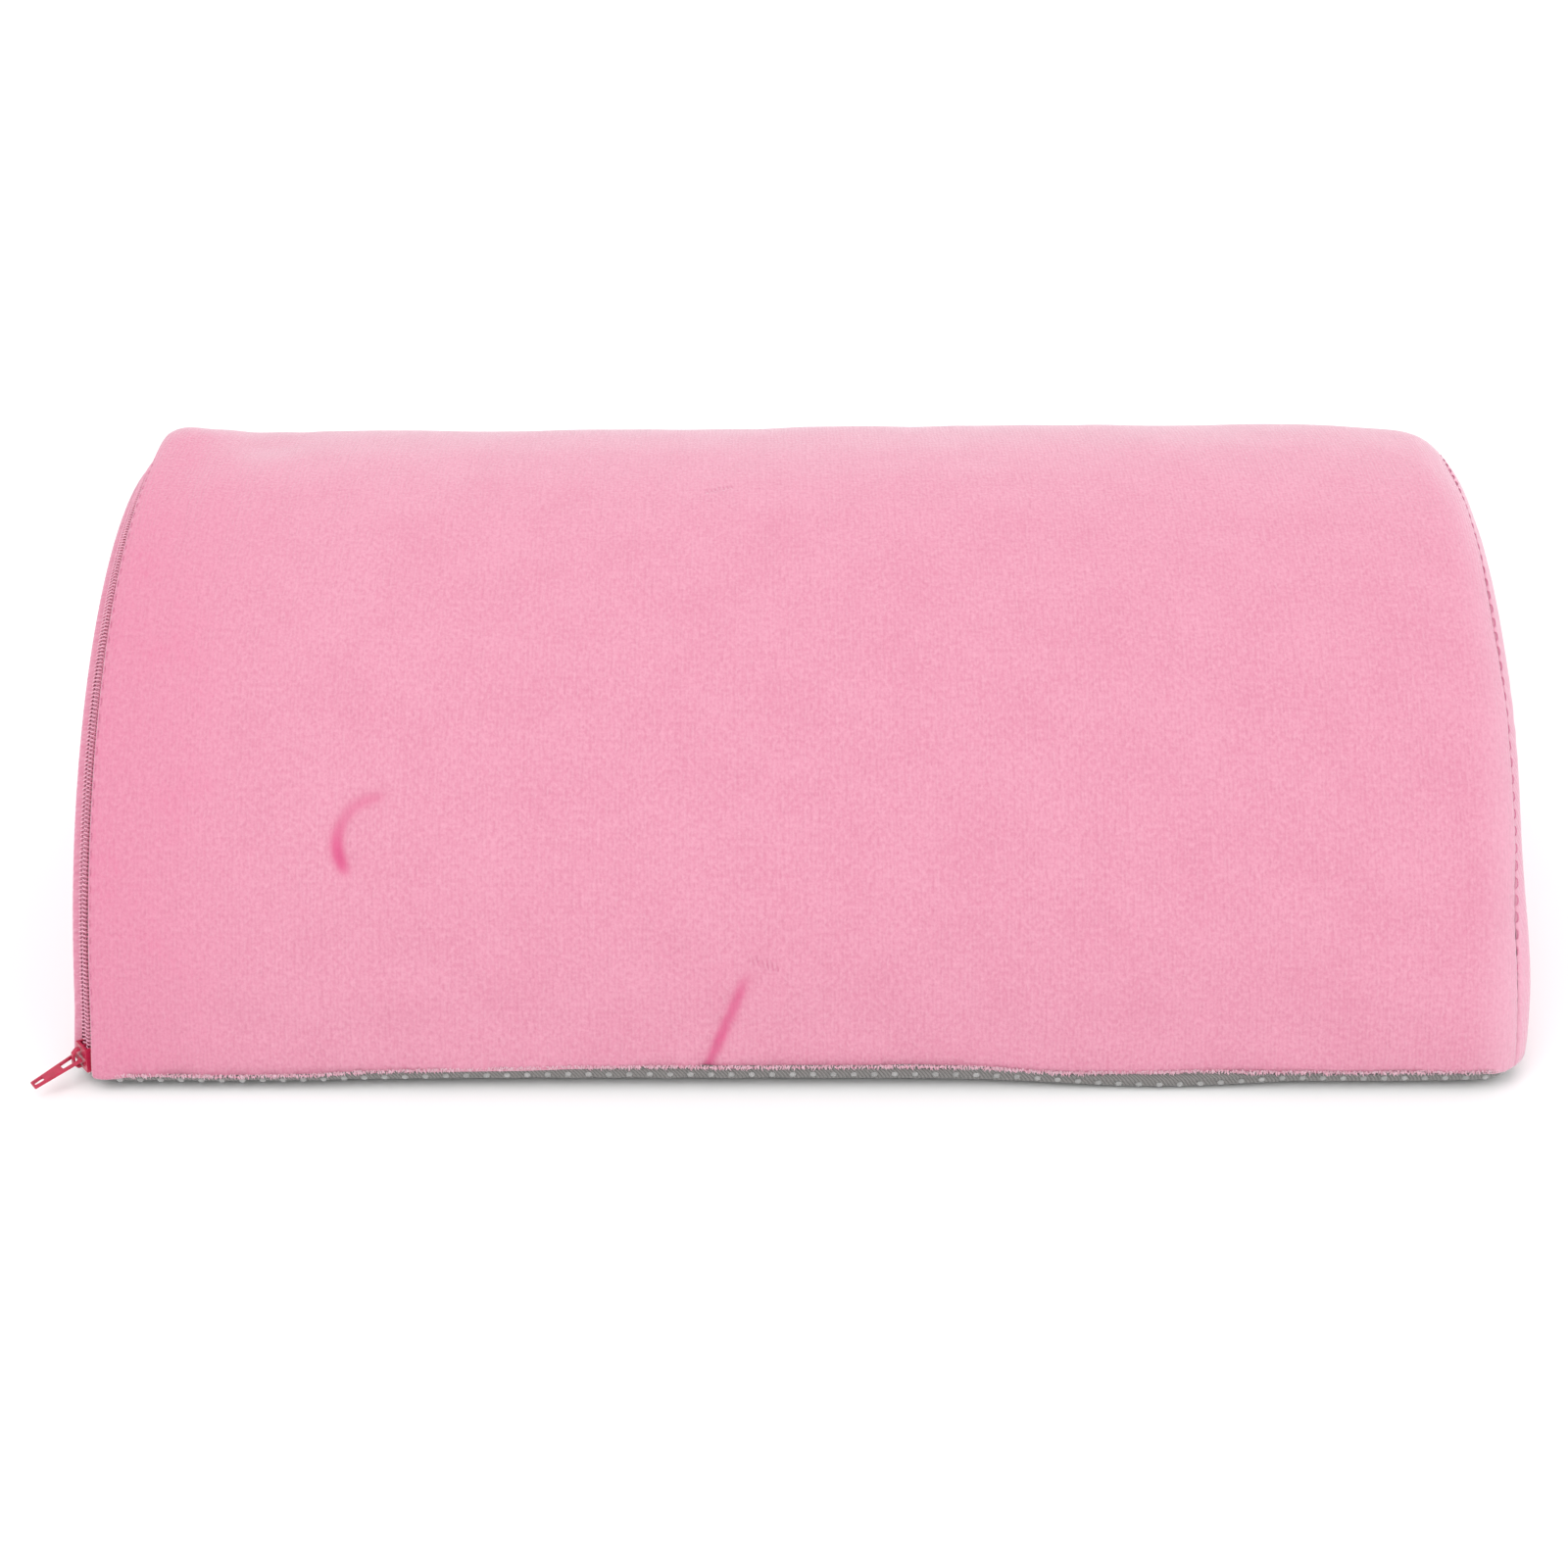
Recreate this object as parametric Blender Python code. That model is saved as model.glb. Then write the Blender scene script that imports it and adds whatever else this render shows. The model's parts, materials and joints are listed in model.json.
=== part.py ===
"""Half-round foam foot-rest cushion in a zipped, removable cover.

Metres, +Z up. The origin is the centre of the underside; +X runs along the
half-round, -Y is the front and +Y the rear. The arc's centre line is the X
axis, and both ends lean inwards as they rise. A zip runs over the arc at the
left end (-X), and its slider is parked at the front, just above the base.
"""

import math

import bmesh
import bpy
from mathutils import Matrix, Vector
from mathutils.geometry import tessellate_polygon

# Overall shape
LENGTH = 0.450
RADIUS = 0.150
END_LEAN = 0.0045
CORNER_RADIUS = 0.012
ARC_STEPS = 48
CORNER_STEPS = 4

# Clearances: between pieces that touch, round moving pieces, and over the soft foam
GAP = 0.0003
RUNNING_GAP = 0.0004
FOAM_GAP = 0.0007

# Cover
COVER_THICKNESS = 0.0016
BASE_THICKNESS = 0.0014
BASE_WALL = 0.0012
BASE_WRAP = 0.0037
BASE_EDGE_RADIUS = 0.0030
BASE_EDGE_STEPS = 3
THREAD_DIAMETER = 0.0006
THREAD_SIDES = 6
SEAM_DEPTH = 0.0008
RIGHT_SEAM_ANGLE = math.radians(41)

# Zip, as it lies in the rounded edge of the left end
ZIP_ANGLE = math.radians(35)
ZIP_RECESS = 0.0018
COIL_SPACING = 0.0014
COIL_WIDTH = 0.0019
COIL_HEIGHT = 0.0020
COIL_CHAMFER = 0.0005
TAPE_THICKNESS = 0.0006
TAPE_TAIL = 0.0045
TOPSTITCH_SETBACK = 0.0017
STOP_LENGTH = 0.0013

# Slider and pull
SLIDER_LENGTH = 0.0078
SLIDER_TRAVEL = math.radians(165)
PLATE_THICKNESS = 0.0010
FLANGE_THICKNESS = 0.0008
NOSE_FLARE = 0.0004
POST_WIDTH = 0.0006
CROWN_WIDTH = 0.0018
CROWN_THICKNESS = 0.0007
CROWN_OPENING = 0.0026
PULL_LENGTH = 0.0160
PULL_ROOT_WIDTH = 0.0052
PULL_TIP_WIDTH = 0.0034
PULL_THICKNESS = 0.0010
PULL_RIM = 0.0007
PULL_WINDOW_MARGIN = 0.0016
PULL_TIP_WINDOW = 0.0032
PULL_DROOP = math.radians(20)
METAL_BEVEL = 0.00015

# Worked out from the sizes above
HALF_LENGTH = LENGTH / 2
LEAN_RATE = END_LEAN / (HALF_LENGTH * RADIUS)
SEAM_OPENING = THREAD_DIAMETER + 2 * GAP
COVER_FOOT = BASE_WRAP + SEAM_OPENING
PARKED_HEIGHT = COVER_FOOT + GAP + SLIDER_LENGTH / 2
TAPE_DEPTH = COVER_THICKNESS + GAP
FOAM_DEPTH = TAPE_DEPTH + TAPE_THICKNESS + FOAM_GAP
TAPE_TOP = -COIL_HEIGHT - GAP
TAPE_BOTTOM = TAPE_TOP - TAPE_THICKNESS
UNDER_PLATE_TOP = TAPE_BOTTOM - GAP
UNDER_PLATE_BOTTOM = UNDER_PLATE_TOP - PLATE_THICKNESS
TOP_PLATE_BOTTOM = GAP
TOP_PLATE_TOP = TOP_PLATE_BOTTOM + PLATE_THICKNESS
COIL_INNER = COIL_SPACING / 2
COIL_OUTER = COIL_INNER + COIL_WIDTH
SLIDER_HALF_WIDTH = COIL_OUTER + RUNNING_GAP + FLANGE_THICKNESS
ZIP_SLOT = SLIDER_HALF_WIDTH + NOSE_FLARE + RUNNING_GAP
SLOT_TURN = math.asin(ZIP_SLOT / (CORNER_RADIUS - COVER_THICKNESS))
TOPSTITCH_TURN = SLOT_TURN + TOPSTITCH_SETBACK / CORNER_RADIUS
PULL_PIVOT = TOP_PLATE_TOP + PULL_THICKNESS / math.sqrt(2) + RUNNING_GAP
CROWN_UNDERSIDE = PULL_PIVOT + PULL_THICKNESS / math.sqrt(2) + RUNNING_GAP
CROWN_TOP = CROWN_UNDERSIDE + CROWN_THICKNESS
CROWN_REACH = math.hypot(CROWN_OPENING + CROWN_THICKNESS, CROWN_TOP - PULL_PIVOT)
PULL_ROOT_WINDOW_END = CROWN_REACH + RUNNING_GAP + PULL_WINDOW_MARGIN


def finish(name, colour, roughness, metallic=0.0):
    """A plain material: linear colour, roughness and metallic value."""
    material = bpy.data.materials.new(name)
    material.use_nodes = True
    shader = material.node_tree.nodes["Principled BSDF"]
    shader.inputs["Base Color"].default_value = (*colour, 1.0)
    shader.inputs["Roughness"].default_value = roughness
    shader.inputs["Metallic"].default_value = metallic
    material.diffuse_color = (*colour, 1.0)
    return material


def make_object(name, points, faces, material, sharp_angle=math.radians(35)):
    """A closed mesh object with its faces pointing out, shaded smooth but for its sharp edges."""
    mesh = bpy.data.meshes.new(name)
    mesh.from_pydata([tuple(p) for p in points], [], faces)
    shape = bmesh.new()
    shape.from_mesh(mesh)
    bmesh.ops.recalc_face_normals(shape, faces=shape.faces)
    shape.to_mesh(mesh)
    shape.free()
    mesh.shade_smooth()
    mesh.set_sharp_from_angle(angle=sharp_angle)
    mesh.materials.append(material)
    thing = bpy.data.objects.new(name, mesh)
    bpy.context.scene.collection.objects.link(thing)
    return thing


def skin(name, rings, material, closed=False):
    """Skins rings of equally many points; the first and last are capped, or joined if closed."""
    count = len(rings[0])
    points = [p for ring in rings for p in ring]
    faces = []
    for i in range(len(rings) if closed else len(rings) - 1):
        here = i * count
        there = (i + 1) % len(rings) * count
        for j in range(count):
            k = (j + 1) % count
            faces.append((here + j, here + k, there + k, there + j))
    if not closed:
        faces.append(tuple(range(count)))
        faces.append(tuple(range(len(points) - count, len(points))))
    return make_object(name, points, faces, material)


def leaning(x, y, z):
    """A point of the upright shape, moved inwards with its height as the ends lean."""
    return Vector((x * (1 - z * LEAN_RATE), y, z))


def edge_point(side, angle, depth):
    """(x, radius) on the rounded edge of the left (-1) or right (+1) end, below the outer face by depth.

    The angle is 0 where the edge meets the end and a quarter turn where it meets the arc.
    """
    reach = CORNER_RADIUS - depth
    x = side * (HALF_LENGTH - CORNER_RADIUS + reach * math.cos(angle))
    return x, RADIUS - CORNER_RADIUS + reach * math.sin(angle)


def edge_run(side, start, stop, depth, steps=CORNER_STEPS):
    """Points along the rounded edge from one angle to another."""
    return [edge_point(side, start + (stop - start) * i / steps, depth) for i in range(steps + 1)]


def arch_angles(radius, foot):
    """Angles about the X axis, from the front to the rear, of an arc whose feet stand at the height foot."""
    first = math.asin(foot / radius)
    return [first + (math.pi - 2 * first) * i / ARC_STEPS for i in range(ARC_STEPS + 1)]


def arch(name, profile, foot, material):
    """A closed (x, radius) profile carried over the half-round; both feet are level at the height foot."""
    columns = []
    for x, radius in profile:
        angles = arch_angles(radius, foot)
        columns.append([leaning(x, -radius * math.cos(a), radius * math.sin(a)) for a in angles])
    return skin(name, [list(ring) for ring in zip(*columns)], material)


def half_round(name, stations, foot, material):
    """A solid through half-round outlines, given as (x, radius), that are flat at the height foot."""
    rings = []
    for x, radius in stations:
        angles = arch_angles(radius, foot)
        rings.append([leaning(x, -radius * math.cos(a), radius * math.sin(a)) for a in angles])
    return skin(name, rings, material)


def take_away(target, cutter):
    """Cuts the hidden cutter's shape out of the target."""
    cutter.hide_render = True
    cutter.display_type = "WIRE"
    cut = target.modifiers.new("cut", "BOOLEAN")
    cut.operation = "DIFFERENCE"
    cut.solver = "EXACT"
    cut.object = cutter


def foot_outline(inset, height):
    """The rounded rectangle that the cover makes at its foot, inset and set at a height."""
    radius = CORNER_RADIUS - inset
    points = []
    for quarter, (sx, sy) in enumerate(((1, 1), (-1, 1), (-1, -1), (1, -1))):
        for i in range(CORNER_STEPS + 1):
            a = (quarter + i / CORNER_STEPS) * math.pi / 2
            x = sx * (HALF_LENGTH - CORNER_RADIUS) + radius * math.cos(a)
            y = sy * (RADIUS - CORNER_RADIUS) + radius * math.sin(a)
            points.append(leaning(x, y, height))
    return points


def thread_section(radius):
    """Offsets of a thread's round section."""
    turns = [2 * math.pi * i / THREAD_SIDES for i in range(THREAD_SIDES)]
    return [(radius * math.cos(a), radius * math.sin(a)) for a in turns]


# The zip's own frame. Its arc is a true circle in the leaning plane of the left end.
# s runs across the chain towards the top panel, n outwards from the coils' top face.
ZIP_X, ZIP_RADIUS = edge_point(-1, ZIP_ANGLE, ZIP_RECESS)
ZIP_LEAN = math.atan(-ZIP_X * LEAN_RATE)
ZIP_FRAME = Matrix(
    (
        (0, math.sin(ZIP_LEAN), -math.cos(ZIP_LEAN), ZIP_X),
        (-1, 0, 0, 0),
        (0, math.cos(ZIP_LEAN), math.sin(ZIP_LEAN), 0),
        (0, 0, 0, 1),
    )
)
PARKED_ANGLE = math.asin(PARKED_HEIGHT / ZIP_RADIUS)


def zip_section(s, n):
    """(outward offset, radius) of a point across the zip."""
    out = n * math.cos(ZIP_ANGLE) - s * math.sin(ZIP_ANGLE)
    return out, ZIP_RADIUS + s * math.cos(ZIP_ANGLE) + n * math.sin(ZIP_ANGLE)


def under_panel(angle, depth):
    """(outward offset, radius) of a point under the cover near the zip."""
    x, radius = edge_point(-1, angle, depth)
    return ZIP_X - x, radius


def zip_arc(name, profile, first, last, steps, material):
    """A closed profile carried along the zip's circle between two angles."""
    rings = []
    for i in range(steps + 1):
        a = first + (last - first) * i / steps
        ring = [ZIP_FRAME @ Vector((r * math.cos(a), r * math.sin(a), out)) for out, r in profile]
        rings.append(ring)
    return skin(name, rings, material)


def angle_at(height):
    """The angle about the zip's centre at a height on its front half."""
    return math.asin(height / ZIP_RADIUS)


def build_foam(material):
    """The foam core, with the left edge cut back to make room for the zip's slider."""
    floor = BASE_THICKNESS + GAP
    right = edge_run(1, math.pi / 2, 0, FOAM_DEPTH)
    limit = UNDER_PLATE_BOTTOM - RUNNING_GAP
    cut = []
    for s in (-SLIDER_HALF_WIDTH, SLIDER_HALF_WIDTH):
        out, radius = zip_section(s, limit)
        cut.append((ZIP_X - out, radius))
    (x_low, r_low), (x_high, r_high) = cut
    slope = (r_high - r_low) / (x_high - x_low)
    x_end = -HALF_LENGTH + FOAM_DEPTH
    r_arc = RADIUS - FOAM_DEPTH
    left = [(x_end, r_low + (x_end - x_low) * slope), (x_high + (r_arc - r_high) / slope, r_arc)]
    return half_round("foam_core", left + right, floor, material)


def build_top_panel(material):
    """The panel over the arc, from the zip's slot on the left to the sewn seam on the right."""
    left_edge = ZIP_ANGLE + SLOT_TURN
    right_edge = RIGHT_SEAM_ANGLE + SEAM_OPENING / 2 / CORNER_RADIUS
    quarter = math.pi / 2
    outer = edge_run(-1, left_edge, quarter, 0) + edge_run(1, quarter, right_edge, 0)
    inner = edge_run(1, right_edge, quarter, COVER_THICKNESS)
    inner += edge_run(-1, quarter, left_edge, COVER_THICKNESS)
    return arch("top_panel", outer + inner, COVER_FOOT, material)


def build_flat_end_panel(name, side, edge_angle, material):
    """A D-shaped end panel that stops before the edge curves over, as thick as the cover."""
    brim = edge_point(side, edge_angle, COVER_THICKNESS)
    half_round(name, [brim] + edge_run(side, edge_angle, 0, 0), COVER_FOOT, material)


def build_curved_end_panel(name, side, edge_angle, material):
    """A D-shaped end panel, curved over at its edge, as a thin shell."""
    below = COVER_FOOT / 2
    outer = edge_run(side, edge_angle, 0, 0)
    inner = edge_run(side, edge_angle, 0, COVER_THICKNESS)
    past = (inner[0][0] - side * COVER_THICKNESS * 2, inner[0][1])
    panel = half_round(name, outer, COVER_FOOT, material)
    cutter = half_round(name + "_cutter", [past] + inner, below, material)
    take_away(panel, cutter)


def build_base_panel(material):
    """The base fabric as a shallow tray, turned up round the foot of the cover."""
    rings = []
    for i in range(BASE_EDGE_STEPS + 1):
        a = math.pi / 2 * i / BASE_EDGE_STEPS
        inset = BASE_EDGE_RADIUS * (1 - math.sin(a))
        rings.append(foot_outline(inset, BASE_EDGE_RADIUS * (1 - math.cos(a))))
    rings.append(foot_outline(0, BASE_WRAP))
    rings.append(foot_outline(BASE_WALL, BASE_WRAP))
    rings.append(foot_outline(BASE_WALL, BASE_THICKNESS))
    return skin("base_panel", rings, material)


def build_threads(material):
    """The thread of each sewn seam and of the two rows of topstitching beside the zip."""
    radius = THREAD_DIAMETER / 2
    centre_x, centre_r = edge_point(1, RIGHT_SEAM_ANGLE, SEAM_DEPTH)
    section = [(centre_x + u, centre_r + v) for u, v in thread_section(radius)]
    arch("seam_thread_right_arc", section, COVER_FOOT + GAP, material)

    seam_height = BASE_WRAP + SEAM_OPENING / 2
    loops = [foot_outline(SEAM_DEPTH + u, seam_height + v) for u, v in thread_section(radius)]
    skin("seam_thread_base", loops, material, closed=True)

    rows = (
        ("zip_topstitch_panel", ZIP_ANGLE + TOPSTITCH_TURN),
        ("zip_topstitch_end", max(ZIP_ANGLE - TOPSTITCH_TURN, 0)),
    )
    for name, angle in rows:
        centre_x, centre_r = edge_point(-1, angle, -GAP - radius)
        section = [(centre_x + u, centre_r + v) for u, v in thread_section(radius)]
        arch(name, section, COVER_FOOT, material)


def build_tapes(material):
    """The two woven tapes: flat under the coils, then under the panels that they are sewn to."""
    quarter = math.pi / 2
    panel_start = ZIP_ANGLE + TOPSTITCH_TURN
    panel_turns = (panel_start, (panel_start + quarter) / 2, quarter)
    end_turn = max(ZIP_ANGLE - TOPSTITCH_TURN, 0)
    panel_faces = []
    end_faces = []
    edge, bend = COIL_INNER + GAP, SLIDER_HALF_WIDTH
    for n, depth in ((TAPE_TOP, TAPE_DEPTH), (TAPE_BOTTOM, TAPE_DEPTH + TAPE_THICKNESS)):
        under_top = [under_panel(a, depth) for a in panel_turns]
        panel_faces.append([zip_section(edge, n), zip_section(bend, n)] + under_top)
        flat_out, flat_radius = under_panel(0, depth)
        tail = (flat_out, flat_radius - TAPE_TAIL)
        end_faces.append([zip_section(-edge, n), zip_section(-bend, n), under_panel(end_turn, depth), tail])
    first = angle_at(COVER_FOOT + GAP)
    for name, (top, bottom) in (("zip_tape_panel", panel_faces), ("zip_tape_end", end_faces)):
        zip_arc(name, top + bottom[::-1], first, math.pi - first, ARC_STEPS, material)


def build_chain(coil_material, stop_material):
    """The two coils, the top stop on each of them at the front and the bottom stop at the rear."""
    half_slider = SLIDER_LENGTH / 2 / ZIP_RADIUS
    small = GAP / ZIP_RADIUS
    stop = STOP_LENGTH / ZIP_RADIUS
    stop_start = PARKED_ANGLE - half_slider + small
    coil_start = stop_start + stop + small
    coil_end = PARKED_ANGLE + SLIDER_TRAVEL + half_slider
    for sign, side in ((1, "panel"), (-1, "end")):
        profile = [
            zip_section(sign * s, n)
            for s, n in (
                (COIL_INNER, -COIL_HEIGHT),
                (COIL_OUTER, -COIL_HEIGHT),
                (COIL_OUTER, -COIL_CHAMFER),
                (COIL_OUTER - COIL_CHAMFER, 0),
                (COIL_INNER + COIL_CHAMFER, 0),
                (COIL_INNER, -COIL_CHAMFER),
            )
        ]
        zip_arc("zip_coil_" + side, profile, coil_start, coil_end, ARC_STEPS, coil_material)
        zip_arc("zip_top_stop_" + side, profile, stop_start, stop_start + stop, 1, stop_material)
    block = [zip_section(s, n) for s, n in ((-COIL_OUTER, -COIL_HEIGHT), (COIL_OUTER, -COIL_HEIGHT))]
    block += [zip_section(s, n) for s, n in ((COIL_OUTER, GAP), (-COIL_OUTER, GAP))]
    zip_arc("zip_bottom_stop", block, coil_end + small, coil_end + small + stop, 1, stop_material)


def empty(name, parent, matrix):
    """An empty that carries moving pieces; it stands on their joint's axis."""
    carrier = bpy.data.objects.new(name, None)
    bpy.context.scene.collection.objects.link(carrier)
    carrier.parent = parent
    carrier.matrix_local = matrix
    return carrier


def carry(piece, parent, matrix=Matrix.Identity(4)):
    """Parents a piece to the empty on its joint's axis."""
    piece.parent = parent
    piece.matrix_local = matrix
    return piece


def round_edges(piece):
    """The small rounding of a die-cast piece's edges."""
    bevel = piece.modifiers.new("rounding", "BEVEL")
    bevel.width = METAL_BEVEL
    bevel.segments = 2
    bevel.limit_method = "ANGLE"
    bevel.angle_limit = math.radians(40)


def slider_section(half_width, along):
    """The slider across the chain: top plate with its two flanges, the post, and the under plate."""
    inside = half_width - FLANGE_THICKNESS
    post = POST_WIDTH / 2
    flange_foot = TAPE_TOP + GAP
    right = [
        (half_width, TOP_PLATE_TOP),
        (half_width, flange_foot),
        (inside, flange_foot),
        (inside, TOP_PLATE_BOTTOM),
        (post, TOP_PLATE_BOTTOM),
        (post, UNDER_PLATE_TOP),
        (half_width, UNDER_PLATE_TOP),
        (half_width, UNDER_PLATE_BOTTOM),
    ]
    left = [(-s, n) for s, n in reversed(right)]
    return [Vector((s, along, n)) for s, n in right + left]


def build_slider(material):
    """The slider's body and crown, and the pull that hangs on the crown, in the slider's own frame.

    In that frame +X crosses the chain towards the top panel, +Y runs up the chain and +Z points outwards.
    """
    turn = empty("slider_turn", None, ZIP_FRAME)
    across, out = math.cos(ZIP_ANGLE), math.sin(ZIP_ANGLE)
    seat = Matrix.Rotation(PARKED_ANGLE, 4, "Z") @ Matrix(
        (
            (across, 0, out, ZIP_RADIUS),
            (0, 1, 0, 0),
            (-out, 0, across, 0),
            (0, 0, 0, 1),
        )
    )
    half = SLIDER_LENGTH / 2
    nose = SLIDER_HALF_WIDTH + NOSE_FLARE
    stations = (
        (-half, nose - FLANGE_THICKNESS / 4),
        (-half * 0.8, nose),
        (-half * 0.3, nose),
        (half * 0.2, SLIDER_HALF_WIDTH),
        (half * 0.8, SLIDER_HALF_WIDTH),
        (half, SLIDER_HALF_WIDTH - FLANGE_THICKNESS / 4),
    )
    body = skin("slider_body", [slider_section(width, along) for along, width in stations], material)
    round_edges(carry(body, turn, seat))

    crown = plate("slider_crown", crown_outline(), [], CROWN_WIDTH, material)
    stand_up = Matrix(((0, 0, 1, 0), (1, 0, 0, 0), (0, 1, 0, 0), (0, 0, 0, 1)))
    round_edges(carry(crown, turn, seat @ stand_up))

    pivot = seat @ Matrix.Translation((0, 0, PULL_PIVOT))
    hang = empty("pull_turn", turn, pivot @ Matrix.Rotation(math.pi / 2 + PULL_DROOP, 4, "X"))
    round_edges(carry(build_pull(material), hang))


def crown_outline():
    """The crown seen from the side: a low arch over the pull's bar, with a foot at each end."""
    foot = TOP_PLATE_TOP + GAP
    inner, outer = CROWN_OPENING, CROWN_OPENING + CROWN_THICKNESS
    shoulder = CROWN_THICKNESS
    return [
        (-outer, foot),
        (-inner, foot),
        (-inner, CROWN_UNDERSIDE - shoulder),
        (-inner + shoulder, CROWN_UNDERSIDE),
        (inner - shoulder, CROWN_UNDERSIDE),
        (inner, CROWN_UNDERSIDE - shoulder),
        (inner, foot),
        (outer, foot),
        (outer, CROWN_TOP - 2 * shoulder),
        (outer - 2 * shoulder, CROWN_TOP),
        (-outer + 2 * shoulder, CROWN_TOP),
        (-outer, CROWN_TOP - 2 * shoulder),
    ]


def rounded(corners, radius, steps=3):
    """A polygon with each corner replaced by a short curve."""
    count = len(corners)
    points = []
    for i in range(count):
        here = Vector(corners[i])
        back = here + (Vector(corners[i - 1]) - here).normalized() * radius
        ahead = here + (Vector(corners[(i + 1) % count]) - here).normalized() * radius
        for j in range(steps + 1):
            t = j / steps
            points.append(back * (1 - t) ** 2 + here * 2 * t * (1 - t) + ahead * t**2)
    return points


def plate(name, outline, windows, thickness, material):
    """A flat plate in the XY plane, centred on it, with windows through it."""
    loops = [[Vector((p[0], p[1], 0)) for p in loop] for loop in [outline] + windows]
    flat = [p for loop in loops for p in loop]
    count = len(flat)
    lift = Vector((0, 0, thickness / 2))
    points = [p + lift for p in flat] + [p - lift for p in flat]
    faces = []
    for a, b, c in tessellate_polygon(loops):
        faces.append((a, b, c))
        faces.append((c + count, b + count, a + count))
    start = 0
    for loop in loops:
        size = len(loop)
        for i in range(size):
            j = (i + 1) % size
            faces.append((start + i, start + j, start + j + count, start + i + count))
        start += size
    return make_object(name, points, faces, material)


def build_pull(material):
    """The pull: a tapered tab with a long window at its bar and a short one at its free end."""
    bar = PULL_THICKNESS / 2

    def half_width(y, rim=0.0):
        return (PULL_ROOT_WIDTH + (PULL_TIP_WIDTH - PULL_ROOT_WIDTH) * y / PULL_LENGTH) / 2 - rim

    def box(low, high, rim, radius):
        wide, narrow = half_width(low, rim), half_width(high, rim)
        return rounded([(-wide, low), (wide, low), (narrow, high), (-narrow, high)], radius)

    tip_window_end = PULL_LENGTH - PULL_RIM
    tip_window_start = tip_window_end - PULL_TIP_WINDOW
    windows = [
        box(bar, PULL_ROOT_WINDOW_END, PULL_RIM, PULL_RIM * 0.6),
        box(tip_window_start, tip_window_end, PULL_RIM, PULL_RIM * 0.9),
    ]
    return plate("pull_tab", box(-bar, PULL_LENGTH, 0.0, bar), windows, PULL_THICKNESS, material)


def main():
    for old in list(bpy.data.objects):
        bpy.data.objects.remove(old, do_unlink=True)

    foam = finish("foam", (0.86, 0.80, 0.62), 0.9)
    velour = finish("pink_velour", (0.90, 0.38, 0.53), 0.95)
    base = finish("grey_base_fabric", (0.24, 0.23, 0.22), 0.8)
    thread = finish("pink_thread", (0.72, 0.24, 0.38), 0.7)
    tape = finish("zip_tape", (0.80, 0.33, 0.46), 0.85)
    coil = finish("zip_coil", (0.78, 0.36, 0.48), 0.4)
    enamel = finish("crimson_enamel", (0.56, 0.015, 0.07), 0.3, 0.4)

    build_foam(foam)
    build_top_panel(velour)
    half_seam = SEAM_OPENING / 2 / CORNER_RADIUS
    build_flat_end_panel("end_panel_left", -1, ZIP_ANGLE - SLOT_TURN, velour)
    build_curved_end_panel("end_panel_right", 1, RIGHT_SEAM_ANGLE - half_seam, velour)
    build_base_panel(base)
    build_threads(thread)
    build_tapes(tape)
    build_chain(coil, enamel)
    build_slider(enamel)
    bpy.context.view_layer.update()


main()
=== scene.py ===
"""The looks of a half-round foot-rest cushion: velour cover, non-slip base, and a zip over one end.

Metres, +Z up, in the same frame as the solid model: +X along the half-round with the zip at -X,
-Y the front, and the underside at z = 0.
"""

import json
import logging
import math
from dataclasses import dataclass
from enum import Enum

import bmesh
import bpy
import numpy as np
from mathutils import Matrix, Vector


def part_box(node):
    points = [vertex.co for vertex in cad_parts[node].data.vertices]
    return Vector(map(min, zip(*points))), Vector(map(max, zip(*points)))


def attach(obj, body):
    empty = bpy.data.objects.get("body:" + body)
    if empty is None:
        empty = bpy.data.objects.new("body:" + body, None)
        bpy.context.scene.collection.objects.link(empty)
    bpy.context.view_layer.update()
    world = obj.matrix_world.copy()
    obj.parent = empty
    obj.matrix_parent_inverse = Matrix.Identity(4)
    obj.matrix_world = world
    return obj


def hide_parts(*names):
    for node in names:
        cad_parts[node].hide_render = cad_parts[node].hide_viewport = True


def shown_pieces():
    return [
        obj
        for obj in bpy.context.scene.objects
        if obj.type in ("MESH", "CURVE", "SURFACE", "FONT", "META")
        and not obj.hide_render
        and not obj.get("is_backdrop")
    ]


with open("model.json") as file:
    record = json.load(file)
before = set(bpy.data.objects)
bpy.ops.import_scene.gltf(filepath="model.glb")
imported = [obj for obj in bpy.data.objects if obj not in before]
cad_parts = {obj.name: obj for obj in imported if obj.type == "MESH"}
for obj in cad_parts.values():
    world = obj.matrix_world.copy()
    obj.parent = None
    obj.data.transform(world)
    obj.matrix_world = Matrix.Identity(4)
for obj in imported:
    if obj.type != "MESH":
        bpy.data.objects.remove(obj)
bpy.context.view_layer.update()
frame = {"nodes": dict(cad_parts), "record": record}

log = logging.getLogger("cushion")

STITCH_PITCH = 0.0053
PUCKER_HEIGHT = 0.00006
PUCKER_REACH = 0.0045
# how far from its edge a panel starts to roll in, and how deep it goes at the edge
SEAM_ROLL = (0.0013, 0.0011)
ZIP_ROLL = (0.0016, 0.0026)
# a direction that no part of the cushion runs along, for turning tubes and dots about
GUIDE = np.array([0.31, 0.87, 0.39])


# ---------------------------------------------------------------- number helpers


def smooth(value: np.ndarray, low: float, high: float) -> np.ndarray:
    """Rises smoothly from 0 at low to 1 at high, as 3t^2 - 2t^3."""
    t = np.clip((value - low) / (high - low), 0.0, 1.0)
    return t * t * (3 - 2 * t)


def bell(value: np.ndarray, width: float) -> np.ndarray:
    """A bell curve of height 1, exp(-(value / width)^2)."""
    return np.exp(-((value / width) ** 2))


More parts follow.
